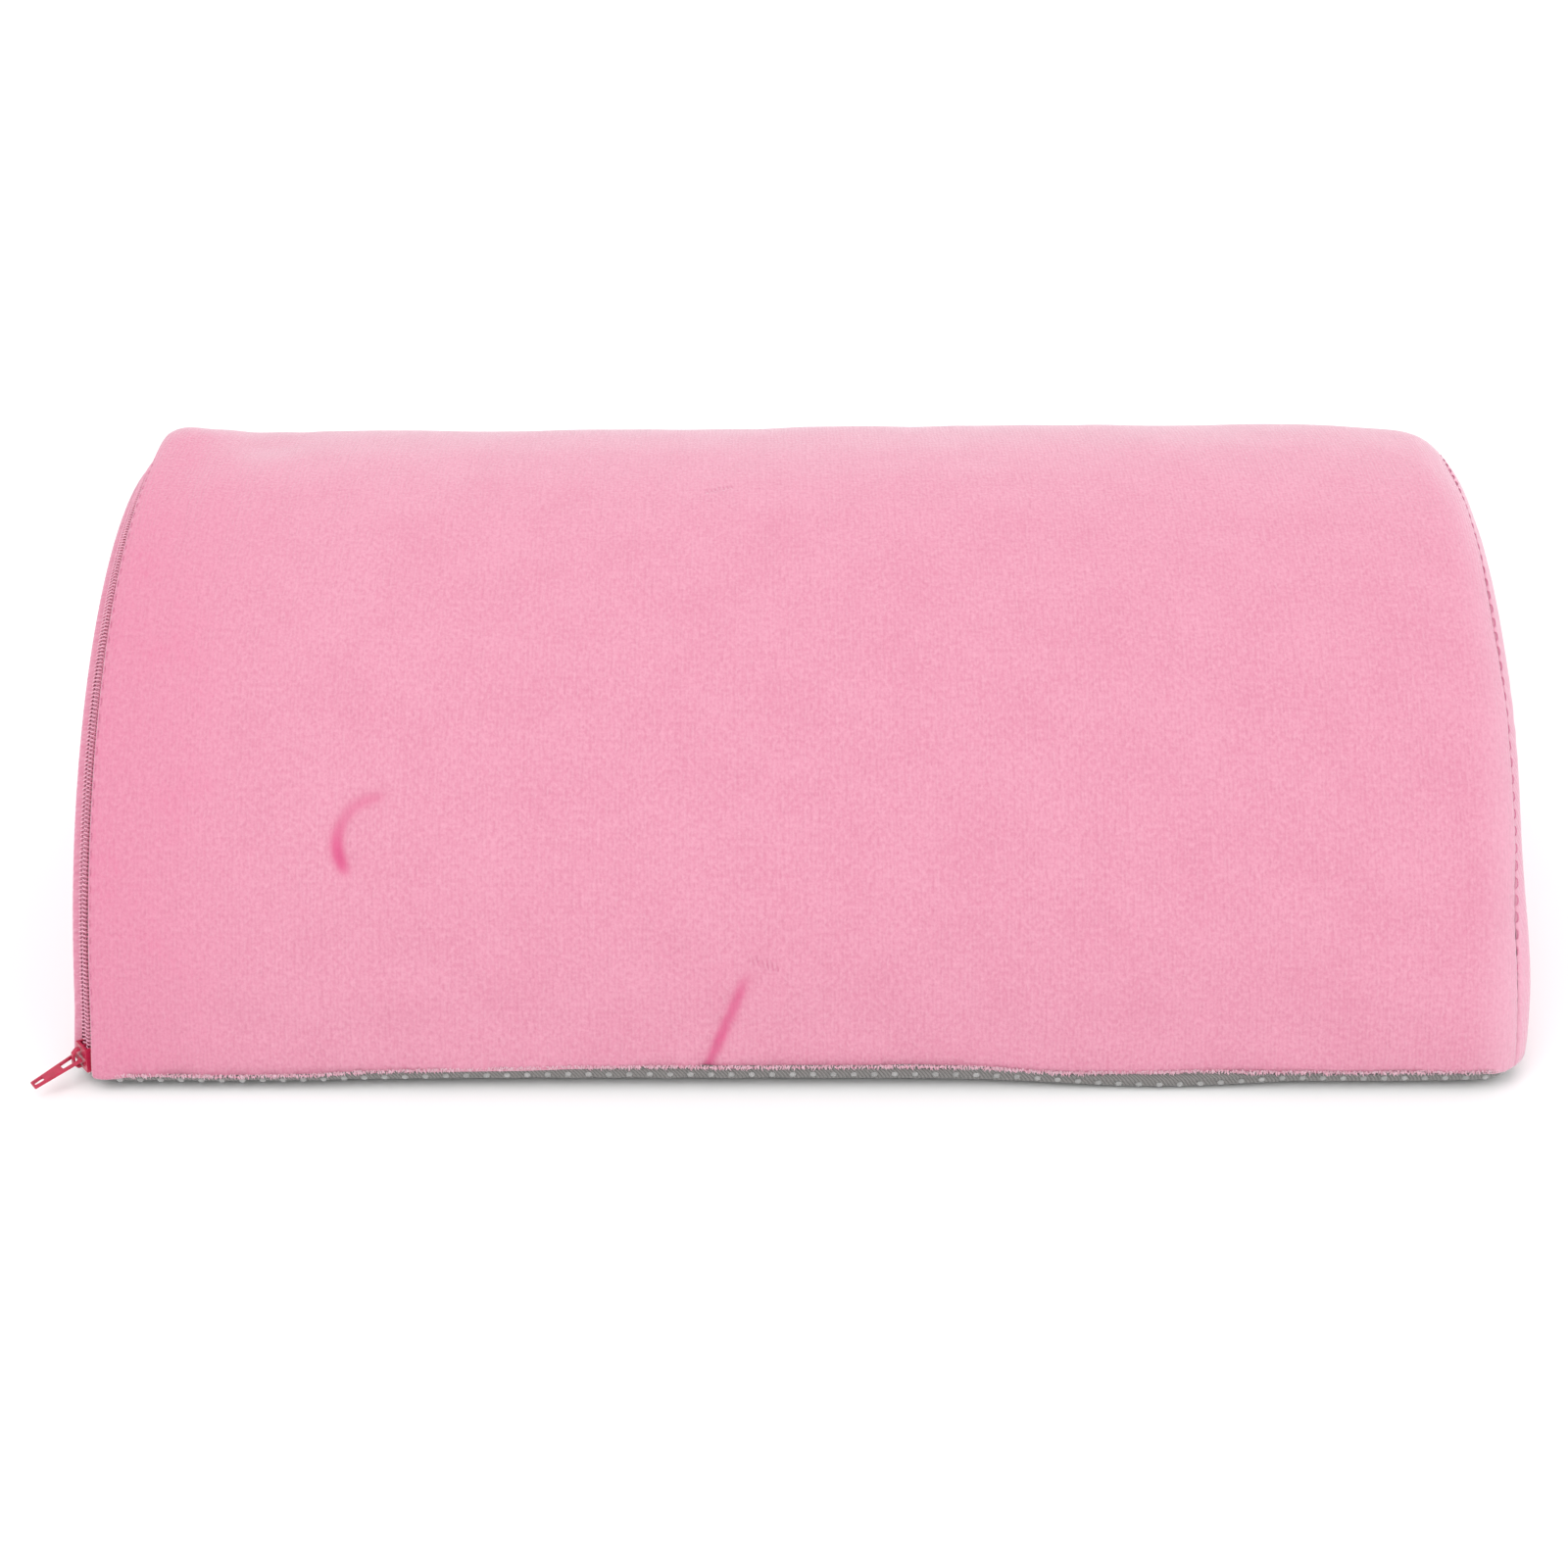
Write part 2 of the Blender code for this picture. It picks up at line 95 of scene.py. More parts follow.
def crowded(count: int, share: float) -> np.ndarray:
    """Places from 0 to 1 that crowd towards both ends, t - share sin(2 pi t) / 2 pi."""
    t = np.linspace(0.0, 1.0, count)
    return t - share * np.sin(2 * math.pi * t) / (2 * math.pi)


def waves(points: np.ndarray, length: float, seed: int, count: int = 14) -> np.ndarray:
    """Soft irregular waves of about one length: a sum of sines in directions fixed by the seed.

    Args:
        points: places, with x, y, z on the last axis.
        length: the waves' usual length.
        seed: fixes the directions and phases.
        count: the number of sines.

    Returns:
        A value at each place, mostly between -1 and 1.
    """
    chance = np.random.default_rng(seed)
    total = np.zeros(points.shape[:-1])
    for _ in range(count):
        way = chance.normal(size=3)
        way *= 2 * math.pi / (length * chance.uniform(0.7, 1.6) * np.linalg.norm(way))
        total += np.sin(points @ way + chance.uniform(0, 2 * math.pi))
    return total / math.sqrt(count)


def curl(distance: np.ndarray, radius: float, depth: float) -> np.ndarray:
    """How far cloth rolls in near its edge: a quarter round, 0 at radius away and depth at it."""
    t = np.clip(1 - distance / radius, 0.0, 1.0)
    return depth * (1 - np.sqrt(np.clip(1 - t * t, 0.0, 1.0)))


def pucker(around: np.ndarray, from_seam: np.ndarray) -> np.ndarray:
    """Small ridges between the stitches: a cosine of the stitch pitch that fades off the seam."""
    ridges = PUCKER_HEIGHT * np.cos(around * 2 * math.pi / STITCH_PITCH)
    return ridges * bell(from_seam, PUCKER_REACH)


def unit(vectors: np.ndarray) -> np.ndarray:
    """Vectors along the last axis brought to length 1; those without a length stay near 0."""
    return vectors / np.maximum(np.linalg.norm(vectors, axis=-1, keepdims=True), 1e-12)


def raised(places: np.ndarray, height: np.ndarray | float) -> np.ndarray:
    """Places in x and y, with a height for each, or one for all, added as z."""
    return np.concatenate([places, np.broadcast_to(height, len(places))[:, None]], -1)


def grid_normals(points: np.ndarray) -> np.ndarray:
    """Unit normals of a grid of points, from the cross product of its two directions."""
    return unit(np.cross(np.gradient(points, axis=0), np.gradient(points, axis=1)))


def blurred(values: np.ndarray, passes: int) -> np.ndarray:
    """A grid of values smoothed by (1, 2, 1) / 4 along both directions, several times."""
    for _ in range(passes):
        for axis in (0, 1):
            padded = np.concatenate(
                [values.take([0], axis), values, values.take([-1], axis)], axis
            )
            count = padded.shape[axis]
            before = padded.take(range(count - 2), axis)
            after = padded.take(range(2, count), axis)
            values = 0.25 * before + 0.5 * values + 0.25 * after
    return values


# ---------------------------------------------------------------- mesh helpers


def mesh_piece(
    name: str,
    points: np.ndarray,
    faces: np.ndarray,
    caps: np.ndarray | None = None,
    smooth_shading: bool = True,
) -> bpy.types.Object:
    """Puts points and faces into a mesh object.

    Args:
        name: the piece's name.
        points: (n, 3) places.
        faces: (m, 3) or (m, 4) point numbers, anticlockwise seen from outside.
        caps: (k, sides) point numbers of more faces, with another number of sides.
        smooth_shading: whether the faces are shaded smooth.

    Returns:
        The new object, linked to the scene.
    """
    mesh = bpy.data.meshes.new(name)
    groups = [faces] if caps is None else [faces, caps]
    corners = np.concatenate([group.ravel() for group in groups]).astype(np.int32)
    sizes = np.concatenate([np.full(len(group), group.shape[1]) for group in groups])
    mesh.vertices.add(len(points))
    mesh.vertices.foreach_set("co", np.ascontiguousarray(points, np.float32).ravel())
    mesh.loops.add(len(corners))
    mesh.loops.foreach_set("vertex_index", corners)
    mesh.polygons.add(len(sizes))
    mesh.polygons.foreach_set("loop_start", (np.cumsum(sizes) - sizes).astype(np.int32))
    mesh.polygons.foreach_set("use_smooth", np.full(len(sizes), smooth_shading))
    mesh.update(calc_edges=True)
    mesh.validate()
    piece = bpy.data.objects.new(name, mesh)
    bpy.context.scene.collection.objects.link(piece)
    return piece


def grid_faces(rows: int, columns: int, wrap: bool = False, flip: bool = False) -> np.ndarray:
    """Quads of a rows by columns grid; wrap joins the last column to the first."""
    across = columns if wrap else columns - 1
    i, j = np.meshgrid(np.arange(rows - 1), np.arange(across), indexing="ij")
    here, there, k = i * columns, (i + 1) * columns, (j + 1) % columns
    faces = np.stack([here + j, there + j, there + k, here + k], -1).reshape(-1, 4)
    return faces[:, ::-1] if flip else faces


def repeated(faces: np.ndarray, count: int, points: int) -> np.ndarray:
    """The faces of one small shape, repeated for count shapes of that many points each."""
    first = np.arange(count) * points
    return (faces[None] + first[:, None, None]).reshape(-1, faces.shape[1])


def face_places(mesh: bpy.types.Mesh) -> tuple[np.ndarray, np.ndarray]:
    """(centres, normals) of a mesh's faces, each as (faces, 3)."""
    found = []
    for key in ("center", "normal"):
        flat = np.empty(len(mesh.polygons) * 3, np.float32)
        mesh.polygons.foreach_get(key, flat)
        found.append(flat.reshape(-1, 3))
    return found[0], found[1]


def agree(mesh: bpy.types.Mesh) -> None:
    """Turns a mesh's faces so that neighbours look to the same side, outwards if it is closed."""
    shape = bmesh.new()
    shape.from_mesh(mesh)
    bmesh.ops.recalc_face_normals(shape, faces=shape.faces)
    shape.to_mesh(mesh)
    shape.free()


def ring_solid(name: str, rings: np.ndarray) -> bpy.types.Object:
    """A closed, flat-shaded shape through rings of points, with one face over each end.

    Args:
        name: the object's name.
        rings: (rings, points, 3) places.

    Returns:
        The new object, linked to the scene.
    """
    rows, columns = rings.shape[:2]
    faces = np.roll(grid_faces(rows, columns, wrap=True, flip=True), 1, axis=1)
    caps = np.arange(columns) + np.array([[0], [(rows - 1) * columns]])
    made = mesh_piece(name, rings.reshape(-1, 3), faces, caps, smooth_shading=False)
    agree(made.data)
    return made


def grid_piece(name: str, points: np.ndarray, uv: np.ndarray, flip: bool) -> bpy.types.Object:
    """A grid of points as a piece with a UV map in metres.

    Args:
        name: the piece's name.
        points: (rows, columns, 3) places.
        uv: (rows, columns, 2) places on the flat cloth.
        flip: turns the faces round.

    Returns:
        The new object.
    """
    rows, columns = points.shape[:2]
    faces = grid_faces(rows, columns, flip=flip)
    piece = mesh_piece(name, points.reshape(-1, 3), faces)
    layer = piece.data.uv_layers.new(name="cloth")
    corners = np.empty(len(piece.data.loops), np.int32)
    piece.data.loops.foreach_get("vertex_index", corners)
    layer.data.foreach_set("uv", uv.reshape(-1, 2)[corners].astype(np.float32).ravel())
    return piece


def tubes(name: str, paths: np.ndarray, radius: np.ndarray, sides: int) -> bpy.types.Object:
    """Round tubes with pointed ends along many short paths, as one piece.

    Each ring is the path point plus radius (cos t side + sin t up), where side and up are at
    right angles to the path; a radius near 0 at both ends closes the tube.

    Args:
        name: the piece's name.
        paths: (tubes, steps, 3) centre lines.
        radius: (steps,) or (tubes, steps) radii.
        sides: the number of sides.

    Returns:
        The new object.
    """
    count, steps = paths.shape[:2]
    way = unit(np.gradient(paths, axis=1))
    side = unit(np.cross(way, GUIDE))
    up = np.cross(way, side)
    turn = np.linspace(0, 2 * math.pi, sides, endpoint=False)
    size = np.broadcast_to(radius, (count, steps))[..., None, None]
    ring = np.cos(turn)[:, None] * side[:, :, None] + np.sin(turn)[:, None] * up[:, :, None]
    points = paths[:, :, None] + size * ring
    faces = repeated(grid_faces(steps, sides, wrap=True, flip=True), count, steps * sides)
    return mesh_piece(name, points.reshape(-1, 3), faces)


def coordinates(piece: bpy.types.Object) -> np.ndarray:
    """The places of a piece's points after its modifiers."""
    graph = bpy.context.evaluated_depsgraph_get()
    mesh = piece.evaluated_get(graph).to_mesh()
    flat = np.empty(len(mesh.vertices) * 3, np.float32)
    mesh.vertices.foreach_get("co", flat)
    piece.evaluated_get(graph).to_mesh_clear()
    return flat.reshape(-1, 3).astype(float)


# ---------------------------------------------------------------- shader helpers


class Link:
    """A socket's output, so that shader maths can be written as Python expressions."""

    def __init__(self, paint: "Paint", socket: bpy.types.NodeSocket) -> None:
        """Keeps the node tree's builder and the output socket."""
        self.paint = paint
        self.socket = socket

    def _math(self, operation: str, first: object, second: object) -> "Link":
        """A Math node on two values."""
        return self.paint.node("ShaderNodeMath", {"operation": operation}, {0: first, 1: second})

    def __add__(self, other: object) -> "Link":
        """Sum."""
        return self._math("ADD", self, other)

    def __radd__(self, other: object) -> "Link":
        """Sum, from the right."""
        return self._math("ADD", other, self)

    def __sub__(self, other: object) -> "Link":
        """Difference."""
        return self._math("SUBTRACT", self, other)

    def __rsub__(self, other: object) -> "Link":
        """Difference, from the right."""
        return self._math("SUBTRACT", other, self)

    def __mul__(self, other: object) -> "Link":
        """Product."""
        return self._math("MULTIPLY", self, other)

    def __rmul__(self, other: object) -> "Link":
        """Product, from the right."""
        return self._math("MULTIPLY", other, self)

    def sine(self) -> "Link":
        """Sine of the value in radians."""
        return self._math("SINE", self, 0.0)

    def size(self) -> "Link":
        """The value without its sign."""
        return self._math("ABSOLUTE", self, 0.0)


class Paint:
    """A material and its node tree, built one node at a time."""

    def __init__(self, name: str) -> None:
        """Makes an empty Principled material."""
        self.material = bpy.data.materials.new(name)
        self.material.use_nodes = True
        self.tree = self.material.node_tree
        self.shader = self.tree.nodes["Principled BSDF"]

    def node(self, kind: str, settings: dict, values: dict, output: int | str = 0) -> Link:
        """Adds a node.

        Args:
            kind: the node's type.
            settings: its properties, which are set first.
            values: numbers, colours or links by socket.
            output: which output to return.

        Returns:
            The chosen output.
        """
        made = self.tree.nodes.new(kind)
        for key, value in settings.items():
            setattr(made, key, value)
        for key, value in values.items():
            self.feed(made.inputs[key], value)
        return Link(self, made.outputs[output])

    def feed(self, socket: bpy.types.NodeSocket, value: object) -> None:
        """Links or sets a socket."""
        if isinstance(value, Link):
            self.tree.links.new(value.socket, socket)
        else:
            socket.default_value = value

    def set(self, **values: object) -> None:
        """Sets or links the shader's own sockets; an underscore in a name stands for a space."""
        for key, value in values.items():
            self.feed(self.shader.inputs[key.replace("_", " ")], value)

    def noise(self, place: Link, scale: float, detail: float = 2.0, rough: float = 0.5) -> Link:
        """Noise about 0.5."""
        values = {"Vector": place, "Scale": scale, "Detail": detail, "Roughness": rough}
        return self.node("ShaderNodeTexNoise", {}, values)

    def step(self, value: Link, low: float, high: float) -> Link:
        """Rises smoothly from 0 at low to 1 at high."""
        settings = {"interpolation_type": "SMOOTHSTEP"}
        return self.node("ShaderNodeMapRange", settings, {0: value, 1: low, 2: high})

    def mix(self, share: Link | float, first: object, second: object) -> Link:
        """A colour between two."""
        settings = {"data_type": "RGBA"}
        return self.node("ShaderNodeMix", settings, {0: share, 6: first, 7: second}, 2)

    def split(self, place: Link) -> tuple[Link, Link, Link]:
        """A vector's three parts."""
        first = self.node("ShaderNodeSeparateXYZ", {}, {0: place})
        outputs = first.socket.node.outputs
        return tuple(Link(self, outputs[i]) for i in range(3))

    def join(self, x: object, y: object, z: object) -> Link:
        """A vector from three parts."""
        return self.node("ShaderNodeCombineXYZ", {}, {0: x, 1: y, 2: z})

    def place(self) -> Link:
        """Object coordinates."""
        return self.node("ShaderNodeTexCoord", {}, {}, "Object")

    def cloth(self) -> Link:
        """The piece's own UV map, in metres."""
        return self.node("ShaderNodeTexCoord", {}, {}, "UV")

    def bump(self, height: Link, distance: float, strength: float = 1.0) -> None:
        """Feeds a Bump node into the shader's normal."""
        values = {"Height": height, "Distance": distance, "Strength": strength}
        self.set(Normal=self.node("ShaderNodeBump", {}, values))


class Nap(Enum):
    """Which panel a velour finish is for; only the top panel carries the marks of handling and the
    painted shade in their dents and creases.
    """

    TOP = "top"
    END = "end"


@dataclass(frozen=True)
class Velour:
    """Short-pile velour: knit ribs, a brushed nap, a pale sheen and a painted sheen along the right
    end.
    """

    base: tuple[float, float, float, float] = (0.640, 0.235, 0.340, 1.0)
    pale: tuple[float, float, float, float] = (0.720, 0.330, 0.435, 1.0)
    deep: tuple[float, float, float, float] = (0.620, 0.095, 0.230, 1.0)
    # a paler pink painted over the right end as sheen
    right_edge_sheen: tuple[float, float, float, float] = (0.780, 0.470, 0.570, 1.0)
    rib_pitch: float = 0.0012
    pile_height: float = 0.0006

    def material(self, name: str, nap: Nap, marks: "Marks") -> bpy.types.Material:
        """Builds the material.

        Args:
            name: the material's name.
            nap: which panel it is for.
            marks: the crescent, the fold and the nap ticks of the top panel, with painted shade in
                the dent, the fold and the crease.

        Returns:
            The material.
        """
        paint = Paint(name)
        cloth = paint.cloth()
        u, v, _ = paint.split(cloth)
        patch = paint.noise(cloth, 45.0, 4.0, 0.6)
        speckle = paint.noise(cloth, 720.0, 3.0, 0.7)
        streaks = paint.noise(paint.join(u * 900.0, v * 260.0, 0.0), 1.0, 3.0, 0.65)
        pile = paint.noise(paint.join(u * 1500.0, v * 1100.0, 3.0), 1.0, 2.0)
        wander = paint.noise(cloth, 120.0, 3.0)
        ribs = (u * (2 * math.pi / self.rib_pitch) + wander * 9.0).sine()
        shade = 0.16 * patch + 0.52 * speckle + 0.17 * streaks + 0.15 * pile + ribs * 0.016
        colour = paint.mix(paint.step(shade, 0.36, 0.64), self.base, self.pale)
        # the right end is mixed towards a paler pink: painted sheen along the right edge
        right = paint.step(paint.split(paint.place())[0], 0.203, 0.2245)
        colour = paint.mix(right * 0.55, colour, self.right_edge_sheen)
        deepened = paint.step(streaks * 0.4 + patch * 0.6, 0.50, 0.68) * 0.10
        height = speckle * 0.8 + streaks * 0.4 + pile * 0.3 + ribs * 0.12
        if nap is Nap.TOP:
            left = 1.0 - paint.step(u, -0.226, -0.135)
            deepened = deepened + left * (patch * 0.34 + streaks * 0.26)
            # the top panel's marks darken the colour: painted shade in the crescent's dent, the
            # fold and the crease, plus the nap ticks
            mark, lines = marks.painted(paint, u, v)
            deepened = deepened + mark * (patch * 0.5 + speckle * 0.6 + 0.5)
            height = height - lines
        colour = paint.mix(paint.step(deepened, 0.0, 1.0), colour, self.deep)
        paint.set(Base_Color=colour, Roughness=0.92, Sheen_Weight=0.85, Sheen_Roughness=0.36)
        paint.set(Sheen_Tint=(1.0, 0.93, 0.96, 1.0), Specular_IOR_Level=0.15)
        paint.bump(height, self.pile_height, 0.75)
        return paint.material


@dataclass(frozen=True)
class Marks:
    """Marks of handling on the top panel, with painted shade in the crescent's dent, the fold and a
    crease; u runs along it and v round the arc from z = 0.
    """

    crescent_u: float = -0.1285
    crescent_v: float = 0.0807
    crescent_radius: float = 0.0132
    fold_top: tuple[float, float] = (-0.0151, 0.0411)
    fold_foot: tuple[float, float] = (-0.0272, 0.0110)
    tick_u: float = -0.0261
    tick_v: float = 0.2133

    def crescent_band(self, u: np.ndarray, v: np.ndarray) -> tuple[np.ndarray, np.ndarray]:
        """(distance outside the crescent's circle, share of its strength along it)."""
        du, dv = u - self.crescent_u, v - self.crescent_v
        far = np.hypot(du, dv)
        return far - self.crescent_radius, smooth(0.438 * dv - 0.899 * du, 0.0015, 0.0080)

    def dents(self, u: np.ndarray, v: np.ndarray) -> np.ndarray:
        """How far the marks stand out of the cloth: bell curves across lines and a circle."""
        outside, strength = self.crescent_band(u, v)
        inside = bell(np.hypot(u - self.crescent_u - 0.004, v - self.crescent_v), 0.011)
        out = -0.0017 * strength * bell(outside, 0.0026) + 0.0006 * inside
        top, foot = np.array(self.fold_top), np.array(self.fold_foot)
        way = foot - top
        length = np.hypot(*way)
        way = way / length
        du, dv = u - top[0], v - top[1]
        along = du * way[0] + dv * way[1]
        across = -du * way[1] + dv * way[0]
        reach = smooth(along, -0.006, 0.010)
        out += reach * (-0.0015 * bell(across, 0.0019) + 0.0008 * bell(across + 0.0045, 0.0035))
        out += 0.0026 * bell(np.hypot((u + 0.207) / 1.0, (v - 0.262) / 1.5), 0.013)
        out += -0.0014 * bell(np.hypot(u + 0.184, (v - 0.258) / 1.5), 0.012)
        return out

    def painted(self, paint: Paint, u: Link, v: Link) -> tuple[Link, Link]:
        """The painted shade in the crescent's dent, the fold and the crease, the nap ticks, and the
        fine creases, as shader maths.

        Args:
            paint: the material's builder.
            u: place along the cushion.
            v: place round the arc.

        Returns:
            (how much deeper the colour is from painted shade and nap ticks, how far the cloth is
            creased).
        """
        du, dv = u - self.crescent_u, v - self.crescent_v
        offset = {0: paint.join(du, dv, 0.0)}
        far = paint.node("ShaderNodeVectorMath", {"operation": "LENGTH"}, offset, "Value")
        # the crescent's band is darkened: painted shade in its dent
        band = 1.0 - paint.step((far - (self.crescent_radius + 0.0003)).size(), 0.0002, 0.0040)
        band = band * paint.step(dv * 0.438 - du * 0.899, 0.0014, 0.0085)
        band = band * (1.0 - paint.step(dv - du * 0.3, -0.002, 0.015) * 0.55)
        top, foot = np.array(self.fold_top), np.array(self.fold_foot)
        way = (foot - top) / np.hypot(*(foot - top))
        along = (u - top[0]) * way[0] + (v - top[1]) * way[1]
        wobble = paint.noise(paint.join(u, v, 0.0), 130.0, 2.0) * 0.0030 - 0.0015
        across = (v - top[1]) * way[0] - (u - top[0]) * way[1] + wobble
        # the fold is darkened: painted shade in its groove
        fold = (1.0 - paint.step(across.size(), 0.0002, 0.0038)) * paint.step(along, -0.003, 0.010)
        fan = (u * 4400.0 + (v * 900.0)).sine()
        near = 1.0 - paint.step((along + 0.003).size(), 0.0005, 0.0022)
        near = near * (1.0 - paint.step((across - 0.004).size(), 0.004, 0.006))
        ticks = paint.step(fan, 0.1, 0.9) * near
        nap = 1.0 - paint.step((v - self.tick_v - (u - self.tick_u) * 0.25).size(), 0.0006, 0.0016)
        nap = nap * (1.0 - paint.step((u - self.tick_u).size(), 0.004, 0.0058))
        nap = nap * paint.step(fan, -0.3, 0.5)
        bow = paint.noise(paint.join(0.0, v, 0.0), 30.0) * 0.008
        # a faint darker line: painted shade in a crease
        crease = 1.0 - paint.step((u - 0.197 + v * 0.05 + bow).size(), 0.0001, 0.0011)
        crease = crease * paint.step(v, 0.060, 0.085) * (1.0 - paint.step(v, 0.135, 0.160))
        deeper = band * 0.80 + fold * 0.62 + ticks * 0.35 + nap * 0.30 + crease * 0.04
        return deeper, ticks * 0.5 + nap * 0.5 + crease * 0.25


@dataclass(frozen=True)
class Twill:
    """Grey twill, with diagonal ribs that run down to the right at the front."""

    light: tuple[float, float, float, float] = (0.285, 0.273, 0.264, 1.0)
    dark: tuple[float, float, float, float] = (0.135, 0.129, 0.124, 1.0)
    pitch: float = 0.0012

    def material(self, name: str) -> bpy.types.Material:
        """Builds the material."""
        paint = Paint(name)
        place = paint.place()
        x, y, z = paint.split(place)
        rib = 2 * math.pi / self.pitch
        wander = paint.noise(place, 350.0, 2.0)
        ribs = ((x + y + z) * rib + wander * 1.6).sine()
        yarn = ((x - y - z) * (rib * 1.9) + wander * 2.0).sine()
        fluff = paint.noise(place, 1600.0, 3.0, 0.7)
        tone = ribs * 0.30 + yarn * 0.14 + fluff * 0.55 + 0.22
        paint.set(Base_Color=paint.mix(paint.step(tone, 0.0, 1.0), self.dark, self.light))
        paint.set(Roughness=0.85, Sheen_Weight=0.2, Specular_IOR_Level=0.3)
        paint.bump(ribs * 0.5 + yarn * 0.25 + fluff * 0.4, 0.00022, 0.8)
        return paint.material


@dataclass(frozen=True)
class Tape:
    """Woven zip tape: a herringbone of fine yarns, coloured paler than the velour as painted light
    against the shade of the zip's slot.
    """

    # both pinks are paler than the velour's: painted light against the shade in the zip's slot
    light: tuple[float, float, float, float] = (0.82, 0.38, 0.50, 1.0)
    dark: tuple[float, float, float, float] = (0.68, 0.26, 0.38, 1.0)

    def material(self, name: str) -> bpy.types.Material:
        """Builds the material."""
        paint = Paint(name)
        place = paint.place()
        x, y, z = paint.split(place)
        zigzag = (x * 5200.0).sine() * 0.9
        weave = (y * 7000.0 + z * 7000.0 + zigzag).sine()
        cross = (y * 3600.0 - z * 3600.0).sine()
        tone = weave * 0.30 + cross * 0.16 + paint.noise(place, 2200.0, 2.0) * 0.4 + 0.30
        colour = paint.mix(paint.step(tone, 0.0, 1.0), self.dark, self.light)
        paint.set(Base_Color=colour, Roughness=0.8)
        paint.bump(weave * 0.5 + cross * 0.3, 0.00012, 0.8)
        return paint.material


@dataclass(frozen=True)
class Plain:
    """A slightly uneven colour and roughness, for thread, nylon, foam, dots, pile and enamel."""

    colour: tuple[float, float, float, float]
    other: tuple[float, float, float, float]
    roughness: float
    grain: float
    relief: float = 0.0
    coat: float = 0.0
    sheen: float = 0.0

    def material(self, name: str) -> bpy.types.Material:
        """Builds the material."""
        paint = Paint(name)
        place = paint.place()
        cloudy = paint.noise(place, self.grain, 3.0, 0.6)
        paint.set(Base_Color=paint.mix(paint.step(cloudy, 0.35, 0.68), self.colour, self.other))
        paint.set(Roughness=cloudy * 0.16 + (self.roughness - 0.08))
        paint.set(Coat_Weight=self.coat, Coat_Roughness=0.12, Sheen_Weight=self.sheen)
        if self.relief:
            paint.bump(paint.noise(place, self.grain * 2.2, 2.0), self.relief, 0.6)
        return paint.material


# ---------------------------------------------------------------- the cushion


@dataclass(frozen=True)
class Form:
    """The cover's nominal outer face: a half-round with rounded ends that lean in as they rise."""

    half_length: float
    radius: float
    lean: float = 0.0045
    edge: float = 0.012
    seam_turn: float = math.radians(41)
    zip_turn: float = math.radians(35)
    slot_turn: float = 0.458
    foot: float = 0.0042

    def arch(self, x: np.ndarray, r: np.ndarray, angle: np.ndarray) -> np.ndarray:
        """Places at x, a radius and an angle from the front: (x (1 - lean), -r cos a, r sin a)."""
        z = r * np.sin(angle)
        leaned = x * (1 - z * self.lean / (self.half_length * self.radius))
        return np.stack(np.broadcast_arrays(leaned, -r * np.cos(angle), z), -1)

    def edge_profile(
        self, side: int, turn: np.ndarray | float, depth: float = 0.0
    ) -> tuple[np.ndarray, np.ndarray]:
        """(x, radius) on an end's rounded edge; turn is 0 at the end face, a quarter at the arc."""
        reach = self.edge - depth
        x = side * (self.half_length - self.edge + reach * np.cos(turn))
        return x, self.radius - self.edge + reach * np.sin(turn)

    def spread(self, r: np.ndarray, share: np.ndarray) -> np.ndarray:
        """Angles at shares 0 to 1 of the arc, whose feet are at the height foot."""
        first = np.arcsin(np.clip(self.foot / np.maximum(r, 1e-4), 0, 0.2))
        return first + (math.pi - 2 * first) * share

    def border(self, points: np.ndarray) -> np.ndarray:
        """The height at which the base cloth is sewn on; it rises at the middle of the front."""
        x, y = points[..., 0], points[..., 1]
        front = smooth(-y, 0.0, 0.1)
        swell = smooth(x, -0.15, -0.06) * (1 - smooth(x, 0.045, 0.085))
        left = smooth(-x, 0.12, 0.17) * front
        return 0.0069 + front * 0.0019 * swell - 0.0014 * left + 0.00020 * waves(points, 0.03, 5)


